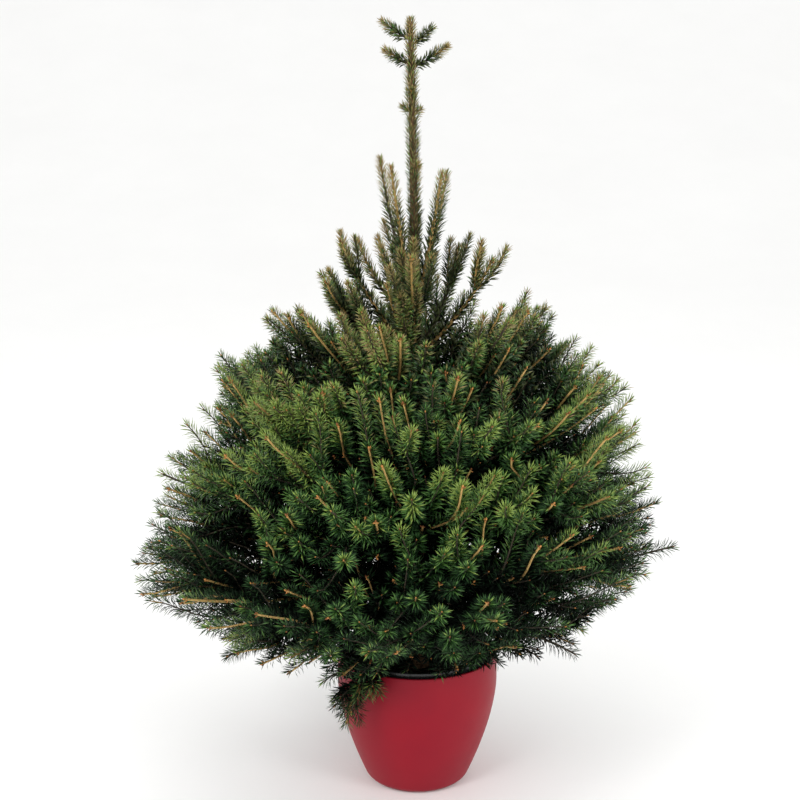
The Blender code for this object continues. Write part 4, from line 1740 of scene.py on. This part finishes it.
@dataclass
class Crown:
    """The limbs of every whorl with their twigs, needles and buds."""

    trunk: TrunkPlan
    limb_plan: LimbPlan
    grower: Grower
    finishes: Finishes
    halved_from: float = 0.35
    hanging_reach: float = 3.0
    hangs_below: float = -60.0
    hanging_lowest: float = 0.160
    hanging_shade: float = 0.95
    stem_ends: float = 1.0
    stem_cut: float = 0.02
    stem_points: int = 12
    stem_bare: float = 0.10

    def __post_init__(self) -> None:
        """Make the tools that dress the twigs."""
        self.dresser = NeedleDresser(self.grower.outline, self.grower.pot)
        self.wood = TwigBuilder()
        self.loose = replace(
            self.grower,
            ragged=(self.hanging_reach, self.hanging_reach),
            flow=Flow(HANGING, front_rise=0.0),
            shade=self.hanging_shade,
            lowest=self.hanging_lowest,
        )

    def home_of(self, whorl: Whorl, azimuth: float) -> str:
        """Name the part of the crown that a limb belongs to, a whorl or half of a wide one.

        Args:
            whorl: The limb's whorl.
            azimuth: Where it points, seen from above.

        Returns:
            The part's name.
        """
        if whorl.reach < self.halved_from:
            return whorl.name
        return f"{whorl.name}_{'front' if math.sin(math.radians(azimuth)) < 0.0 else 'back'}"

    def shoots_of(self, whorl: Whorl, number: int, line: list[Vector]) -> list[Shoot]:
        """Grow one limb to its finest twigs.

        Args:
            whorl: The limb's whorl.
            number: Its number in the whorl.
            line: Its points from the trunk's middle.

        Returns:
            The limb's stem and all its twigs.
        """
        chance = random.Random(f"foliage_{whorl.name}_{number}")
        plan = self.limb_plan
        hangs = whorl.rise_tip < self.hangs_below
        last = 1.0
        while not hangs and self.grower.outline.depth(along(line, last)[0]) > self.stem_ends:
            last -= self.stem_cut
        stem_line = part_of_line(line, whorl.bare, last, self.stem_points)
        stem = Shoot(stem_line, plan.bough_tip_radius, plan.stem_tip_radius, 1)
        stem.bare = 0.0 if whorl.bare else self.stem_bare
        self.grower.mark(stem, chance)
        grower, orders = (self.loose, HANGING_ORDERS) if hangs else (self.grower, ORDERS)
        return [stem, *grower.carry_on(stem, orders[: whorl.orders], whorl.plenty, chance)]

    def grow(self) -> tuple[list[Shoot], dict[str, list[str]]]:
        """Grow every whorl and fill the gaps between them.

        Returns:
            All the twigs, and the masses that each part of the crown stands for.
        """
        shoots, masses = [], {}
        for whorl in WHORLS:
            for twig in self.grower.between(whorl, self.trunk, random.Random(whorl.name)):
                tip = twig.line[-1]
                twig.home = self.home_of(whorl, math.degrees(math.atan2(tip.y, tip.x)))
                shoots.append(twig)
            for number, azimuth, line in self.limb_plan.limbs(whorl, self.trunk):
                home = self.home_of(whorl, azimuth)
                masses.setdefault(home, []).append(f"foliage_{whorl.name}_{number}")
                for twig in self.shoots_of(whorl, number, line):
                    twig.home = home
                    shoots.append(twig)
        by_rule = len(shoots)
        shoots += GapFiller(self.grower).fill(shoots)
        log.info("twigs: %d by the whorls' rule, %d into gaps", by_rule, len(shoots) - by_rule)
        return shoots, masses

    def build(self) -> None:
        """Make the needles, twigs and buds of each part of the crown."""
        shoots, masses = self.grow()
        for home, replaced in masses.items():
            needles = JoinedMesh(f"needles_{home}")
            twigs = JoinedMesh(f"twigs_{home}")
            buds = JoinedMesh(f"buds_{home}")
            chance = np.random.default_rng(sum(map(ord, home)))
            mine = [shoot for shoot in shoots if shoot.home == home]
            total = sum(self.dresser.dress(shoot, needles, chance) for shoot in mine)
            for shoot in mine:
                self.wood.wood(shoot, twigs)
                self.wood.buds(shoot, buds, chance)
            self.finish(needles, twigs, buds, replaced)
            metres = sum(shoot.length() for shoot in mine)
            log.info("%s: %.1f m of twigs, %d needles", home, metres, total)

    def finish(self, needles: JoinedMesh, twigs: JoinedMesh, buds: JoinedMesh, masses: list[str]) -> None:
        """Make the joined meshes objects that ride on the plant.

        Args:
            needles: The needles.
            twigs: The wood.
            buds: The buds.
            masses: The solids that they stand for.
        """
        for joined, tints, slot in (
            (needles, self.finishes.needles, "needles"),
            (twigs, self.finishes.twigs, "bark"),
            (buds, self.finishes.buds, "bark"),
        ):
            if not joined.points:
                continue
            piece = joined.build(tints)
            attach(piece, BODY)
            if joined is needles:
                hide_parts(*masses)
            log.info("%s: %d triangles", joined.name, joined.triangle_count())


@dataclass(frozen=True)
class Tuft:
    """A short side shoot near the tip of the leader."""

    height: float
    azimuth: float
    rise: float
    reach: float


TUFTS = (
    Tuft(1.180, 158, 28, 0.052),
    Tuft(1.172, 24, 34, 0.042),
    Tuft(1.144, 204, 24, 0.046),
    Tuft(1.140, 344, 26, 0.062),
)
SPURS = (
    Tuft(1.072, 172, 40, 0.016),
    Tuft(1.068, 12, 40, 0.014),
    Tuft(1.096, 262, 42, 0.013),
    Tuft(1.020, 80, 40, 0.014),
    Tuft(0.985, 300, 40, 0.015),
)


@dataclass
class Leader:
    """The needles, side shoots and buds of the trunk's top."""

    crown: Crown
    seed: int = 77
    needles_from: float = 0.70
    needle_length: float = 0.0150
    crowding: float = 2.5
    light: float = 0.9
    nodes: tuple[float, ...] = (0.22, 0.48)
    rings: int = 26
    tuft_radius: float = 0.0018
    tuft_taper: float = 0.75
    tuft_upright: float = 0.5
    tuft_curl: float = 8
    tuft_steps: int = 3
    tuft_bare: float = 0.005
    most_bare: float = 0.3

    def build(self) -> None:
        """Make the leader's pieces."""
        trunk, crown = self.crown.trunk, self.crown
        needles, twigs = JoinedMesh("needles_leader"), JoinedMesh("twigs_leader")
        buds = JoinedMesh("buds_leader")
        chance = np.random.default_rng(self.seed)
        rise = (trunk.tip - self.needles_from) / self.rings
        line = [trunk.axis(self.needles_from + rise * i) for i in range(self.rings + 1)]
        look = {"light": self.light, "gold": 1.0, "parting": 1.0, "crowding": self.crowding}
        look["needle_length"] = self.needle_length
        foot_radius = trunk.radius(self.needles_from)
        stem = Shoot(line, foot_radius, trunk.tip_radius, 1, upright=1.0, nodes=[*self.nodes], **look)
        crown.dresser.dress(stem, needles, chance)
        crown.wood.buds(stem, buds, chance)
        foot_radius, tip_radius = self.tuft_radius, self.tuft_radius * self.tuft_taper
        for tuft in (*TUFTS, *SPURS):
            foot, rises = trunk.axis(tuft.height), (tuft.rise, tuft.rise + self.tuft_curl)
            line = crown.limb_plan.line(foot, tuft.azimuth, rises, tuft.reach, self.tuft_steps)
            shoot = Shoot(line, foot_radius, tip_radius, 3, upright=self.tuft_upright, **look)
            shoot.bare = min(self.most_bare, self.tuft_bare / tuft.reach)
            crown.dresser.dress(shoot, needles, chance)
            crown.wood.wood(shoot, twigs)
            crown.wood.buds(shoot, buds, chance)
        crown.finish(needles, twigs, buds, [f"tuft_{i + 1}" for i in range(len(TUFTS))])


@dataclass
class BarkBuilder:
    """Tubes with a bark's relief, for the trunk and the bare boughs."""

    trunk: TrunkPlan
    limb_plan: LimbPlan
    finish: bpy.types.Material
    trunk_sides: int = 28
    bough_sides: int = 12
    ring_step: float = 0.0055
    scale_depth: float = 0.0007
    scale_grain: Triple = (160, 160, 70)
    scale_share: float = 0.7
    scale_noise: tuple[float, float, int] = (0.8, 2.1, 4)
    plate_grain: Triple = (60, 60, 22)
    plate_share: float = 0.5
    bough_share: float = 0.6
    fewest_rings: int = 8
    collar: float = 0.0016
    collar_fade: float = 0.006
    collar_drop: float = 0.002

    def sweep(self, shape: bmesh.types.BMesh, line: list[Vector], radii: list[float], sides: int) -> None:
        """Draw a closed tube along a line, ring by ring.

        Args:
            shape: The bmesh to add to.
            line: Middle of each ring.
            radii: Radius of each ring.
            sides: Number of sides.
        """
        made = bmesh.ops.create_circle(shape, segments=sides, radius=radii[0])["verts"]
        ahead = (line[1] - line[0]).normalized()
        bmesh.ops.rotate(shape, matrix=UP.rotation_difference(ahead).to_matrix(), verts=made)
        bmesh.ops.translate(shape, vec=line[0], verts=made)
        edges = list(dict.fromkeys(edge for vert in made for edge in vert.link_edges))
        bmesh.ops.contextual_create(shape, geom=edges)
        for i in range(1, len(line)):
            grown = bmesh.ops.extrude_edge_only(shape, edges=edges)["geom"]
            verts = [item for item in grown if isinstance(item, bmesh.types.BMVert)]
            edges = [item for item in grown if isinstance(item, bmesh.types.BMEdge)]
            after = (line[min(i + 1, len(line) - 1)] - line[i - 1]).normalized()
            turn = ahead.rotation_difference(after).to_matrix()
            ratio = radii[i] / radii[i - 1]
            for vert in verts:
                vert.co = line[i] + turn @ (vert.co - line[i - 1]) * ratio
            ahead = after
        bmesh.ops.contextual_create(shape, geom=edges)

    def roughen(self, shape: bmesh.types.BMesh, depth: float) -> None:
        """Raise bark scales and furrows on a tube.

        Args:
            shape: The tube.
            depth: How deep the furrows are.
        """
        shape.normal_update()
        for vert in shape.verts:
            scales = noise.fractal(vert.co * Vector(self.scale_grain), *self.scale_noise)
            plates = noise.noise(vert.co * Vector(self.plate_grain))
            vert.co += vert.normal * depth * (self.scale_share * scales + self.plate_share * plates)

    def build_trunk(self) -> None:
        """Make the trunk's bark, with a swelling where each whorl stands."""
        trunk = self.trunk
        count = int((trunk.tip - trunk.foot) / self.ring_step)
        heights = [trunk.foot + (trunk.tip - trunk.foot) * i / count for i in range(count + 1)]
        line = [trunk.axis(height) for height in heights]
        radii = []
        for height in heights:
            aways = [(height - whorl.height + self.collar_drop) / self.collar_fade for whorl in WHORLS]
            radii.append(trunk.radius(height) + sum(self.collar * math.exp(-(away**2)) for away in aways))
        shape = bmesh.new()
        self.sweep(shape, line, radii, self.trunk_sides)
        self.roughen(shape, self.scale_depth)
        for vert in shape.verts:
            vert.co.z = min(max(vert.co.z, trunk.foot), trunk.tip)
        piece = finished(shape, "trunk_bark", self.finish)
        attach(piece, BODY)
        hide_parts("trunk")
        log.info("trunk_bark: %d faces", len(piece.data.polygons))

    def build_boughs(self) -> None:
        """Make the bare boughs' bark as one mesh."""
        shape, nodes = bmesh.new(), []
        for whorl in WHORLS:
            if not whorl.bare:
                continue
            for number, _, line in self.limb_plan.limbs(whorl, self.trunk):
                length = line_length(line) * whorl.bare
                count = max(self.fewest_rings, int(length / self.ring_step))
                bare = part_of_line(line, 0.0, whorl.bare, count + 1)
                first, last = self.limb_plan.bough_foot_radius, self.limb_plan.bough_tip_radius
                radii = [first + (last - first) * i / count for i in range(count + 1)]
                self.sweep(shape, bare, radii, self.bough_sides)
                nodes.append(f"bough_{whorl.name}_{number}")
        self.roughen(shape, self.scale_depth * self.bough_share)
        piece = finished(shape, "bough_bark", self.finish)
        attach(piece, BODY)
        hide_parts(*nodes)
        log.info("bough_bark: %d faces", len(piece.data.polygons))


@dataclass
class Planter:
    """The red tub."""

    pot: Pot
    finish: bpy.types.Material
    floor: float = 0.006
    floor_radius: float = 0.0735
    rim_round: float = 0.0014
    steps: int = 128
    rim_steps: int = 4
    flank_steps: int = 20
    foot_steps: int = 12

    def build(self) -> None:
        """Make the tub from its inner floor over the rim to its foot."""
        pot = self.pot
        step = (pot.flank_top - pot.flank_foot) / self.flank_steps
        top = [pot.flank_top - step * i for i in range(self.flank_steps + 1)]
        outside = [(pot.flank(height), height) for height in top]
        inner_rim = pot.radius - pot.wall
        profile = [(0.0, self.floor), (self.floor_radius, self.floor)]
        profile += [(pot.flank(height) - pot.wall, height) for height in reversed(top)]
        rim = pot.height - self.rim_round
        profile += rounded((inner_rim + self.rim_round, rim), self.rim_round, 180, 90, self.rim_steps)
        profile += rounded((pot.radius - self.rim_round, rim), self.rim_round, 90, 0, self.rim_steps)
        profile += outside + pot.foot(self.foot_steps) + [(0.0, 0.0)]
        piece = finished(turned(profile, self.steps), "planter_tub", self.finish)
        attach(piece, BODY)
        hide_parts("planter")
        log.info("planter_tub: %d faces", len(piece.data.polygons))


@dataclass
class GrowingPot:
    """The thin black pot inside the tub."""

    finish: bpy.types.Material
    foot: float = 0.0063
    top: float = 0.224
    wall: float = 0.002
    foot_radius: float = 0.0725
    neck_radius: float = 0.1155
    lip_radius: float = 0.1205
    lip_height: float = 0.014
    lip_round: float = 0.0016
    lip_bevel: float = 0.001
    neck_depth: float = 0.012
    neck_inset: float = 0.002
    under_lip: Pair = (0.0015, 0.004)
    steps: int = 96

    def build(self) -> None:
        """Make the pot with its rolled lip."""
        neck, lip, curl = self.neck_radius, self.lip_radius, self.lip_round
        lip_foot, lip_turn = self.top - self.lip_height, self.top - curl
        inset, drop = self.under_lip
        profile = [
            (0.0, self.foot + self.wall),
            (self.foot_radius - self.wall, self.foot + self.wall),
            (neck - self.wall - self.neck_inset, self.top - self.neck_depth),
            (neck - self.wall, lip_turn),
            *rounded((neck + curl, lip_turn), curl, 160, 90, 3),
            *rounded((lip - curl, lip_turn), curl, 90, 0, 4),
            (lip, lip_foot + self.lip_bevel),
            (lip - self.lip_bevel, lip_foot),
            (neck, lip_foot),
            (neck - inset, lip_foot - drop),
            (self.foot_radius, self.foot),
            (0.0, self.foot),
        ]
        piece = finished(turned(profile, self.steps), "growing_pot", self.finish)
        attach(piece, BODY)
        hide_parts("nursery_pot")
        log.info("growing_pot: %d faces", len(piece.data.polygons))


@dataclass
class Soil:
    """The filling of the growing pot, rough on top, with crumbs on it."""

    finish: bpy.types.Material
    foot: float = 0.0086
    edge: float = 0.184
    top: float = 0.190
    mound_radius: float = 0.034
    foot_radius: float = 0.0699
    edge_radius: float = 0.1050
    steps: int = 96
    rings: int = 16
    roughness: float = 0.0022
    clod_grain: float = 90
    clod_noise: tuple[float, float, int] = (0.8, 2.0, 4)
    smooth_middle: float = 0.022
    smooth_edge: float = 0.002
    crumbs: int = 420
    crumb_spread: Pair = (0.05, 0.93)
    crumb_sizes: Pair = (0.0012, 0.0034)
    crumb_dents: Pair = (0.75, 1.25)
    crumb_rise: float = 0.2

    def surface(self, radius: float) -> float:
        """Find the height of the soil's top.

        Args:
            radius: How far from the trunk's foot.

        Returns:
            The height there.
        """
        if radius < self.mound_radius:
            return self.top
        share = (radius - self.mound_radius) / (self.edge_radius - self.mound_radius)
        return blend(self.top, self.edge, share)

    def build(self) -> None:
        """Make the soil and its crumbs."""
        radii = [self.edge_radius * i / self.rings for i in range(self.rings + 1)]
        profile = [(radius, self.surface(radius)) for radius in radii]
        profile += [(self.foot_radius, self.foot), (0.0, self.foot)]
        shape = turned(profile, self.steps)
        low, rough_to = self.edge - self.smooth_edge, self.edge_radius - self.smooth_edge
        for vert in shape.verts:
            radius = math.hypot(vert.co.x, vert.co.y)
            if vert.co.z > low and self.smooth_middle < radius < rough_to:
                clods = noise.fractal(vert.co * self.clod_grain, *self.clod_noise)
                vert.co.z = min(vert.co.z + self.roughness * clods, self.top)
        chance = random.Random("crumbs")
        for _ in range(self.crumbs):
            radius = math.sqrt(chance.uniform(*self.crumb_spread)) * self.edge_radius
            turn = chance.uniform(0, FULL_TURN)
            size = chance.uniform(*self.crumb_sizes)
            ball = bmesh.ops.create_icosphere(shape, subdivisions=1, radius=size)["verts"]
            for vert in ball:
                vert.co *= chance.uniform(*self.crumb_dents)
            height = self.surface(radius) + size * self.crumb_rise
            spot = (radius * math.cos(turn), radius * math.sin(turn), height)
            bmesh.ops.translate(shape, vec=spot, verts=ball)
        piece = finished(shape, "soil_surface", self.finish)
        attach(piece, BODY)
        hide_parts("soil")
        log.info("soil_surface: %d faces", len(piece.data.polygons))


@dataclass(frozen=True)
class SoftLight:
    """A square light that faces the plant."""

    name: str
    place: Triple
    size: float
    power: float


@dataclass
class Studio:
    """Floor, lights and camera."""

    floor_finish: bpy.types.Material
    camera_place: Triple = (-0.028, -2.2, 1.116)
    camera_dip: float = 12.4
    focal_pixels: float = 1434.0
    picture_pixels: float = 800.0
    sensor: float = 36.0
    sees_to: float = 60.0
    floor_width: float = 40.0
    floor_front: float = -9.0
    bend_from: float = 2.5
    bend_radius: float = 9.0
    bend_steps: int = 48
    backdrop_top: float = 12.0
    sky: float = 1.0
    aim: Triple = (0.0, 0.0, 0.55)
    lights: tuple[SoftLight, ...] = (
        SoftLight("key", (-1.6, -2.4, 2.4), 0.9, 44.0),
        SoftLight("fill", (2.1, -1.9, 1.5), 1.0, 26.0),
        SoftLight("back", (0.6, 2.2, 2.6), 1.8, 10.0),
    )

    def build(self) -> None:
        """Set up the studio."""
        self.build_camera()
        self.build_floor()
        self.build_lights()

    def build_camera(self) -> None:
        """Set the camera where the picture was taken from."""
        camera = bpy.data.cameras.new("camera")
        camera.sensor_width = self.sensor
        camera.lens = self.focal_pixels / self.picture_pixels * self.sensor
        camera.clip_end = self.sees_to
        holder = bpy.data.objects.new("camera", camera)
        holder.location = self.camera_place
        holder.rotation_euler = (math.radians(90 - self.camera_dip), 0.0, 0.0)
        bpy.context.scene.collection.objects.link(holder)
        bpy.context.scene.camera = holder

    def build_floor(self) -> None:
        """Lay a pale floor that sweeps up behind the plant, with no edge in sight."""
        shape, left = bmesh.new(), -self.floor_width / 2
        arc = rounded((self.bend_from, self.bend_radius), self.bend_radius, -90, 0, self.bend_steps)
        profile = [(self.floor_front, 0.0), *arc, (arc[-1][0], self.backdrop_top)]
        verts = [shape.verts.new((left, away, height)) for away, height in profile]
        edges = [shape.edges.new(pair) for pair in zip(verts, verts[1:])]
        drawn = bmesh.ops.extrude_edge_only(shape, edges=edges)["geom"]
        far = [item for item in drawn if isinstance(item, bmesh.types.BMVert)]
        bmesh.ops.translate(shape, vec=(self.floor_width, 0.0, 0.0), verts=far)
        finished(shape, "floor", self.floor_finish)

    def build_lights(self) -> None:
        """Hang the soft lights and light the white surroundings."""
        for light in self.lights:
            lamp = bpy.data.lights.new(light.name, "AREA")
            lamp.size = light.size
            lamp.energy = light.power
            holder = bpy.data.objects.new(light.name, lamp)
            holder.location = light.place
            toward = Vector(self.aim) - Vector(light.place)
            holder.rotation_euler = toward.to_track_quat("-Z", "Y").to_euler()
            bpy.context.scene.collection.objects.link(holder)
        world = bpy.data.worlds.new("white_room")
        world.use_nodes = True
        background = world.node_tree.nodes["Background"]
        background.inputs["Color"].default_value = (1.0, 1.0, 1.0, 1.0)
        background.inputs["Strength"].default_value = self.sky
        bpy.context.scene.world = world
        bpy.context.scene.view_settings.view_transform = "Standard"


def main() -> None:
    """Build the studio, the pots, the wood and the crown."""
    logging.basicConfig(level=logging.INFO, format="%(message)s")
    finishes = Finishes()
    Studio(finishes.floor).build()
    pot, trunk, limb_plan = Pot(), TrunkPlan(), LimbPlan()
    Planter(pot, finishes.planter).build()
    GrowingPot(finishes.growing_pot).build()
    Soil(finishes.soil).build()
    bark = BarkBuilder(trunk, limb_plan, finishes.bark)
    bark.build_trunk()
    bark.build_boughs()
    crown = Crown(trunk, limb_plan, Grower(CrownOutline(), pot), finishes)
    crown.build()
    Leader(crown).build()
    total = sum(len(piece.data.polygons) for piece in bpy.data.objects if piece.type == "MESH")
    log.info("faces in all: %d", total)


if __name__ == "__main__":
    main()
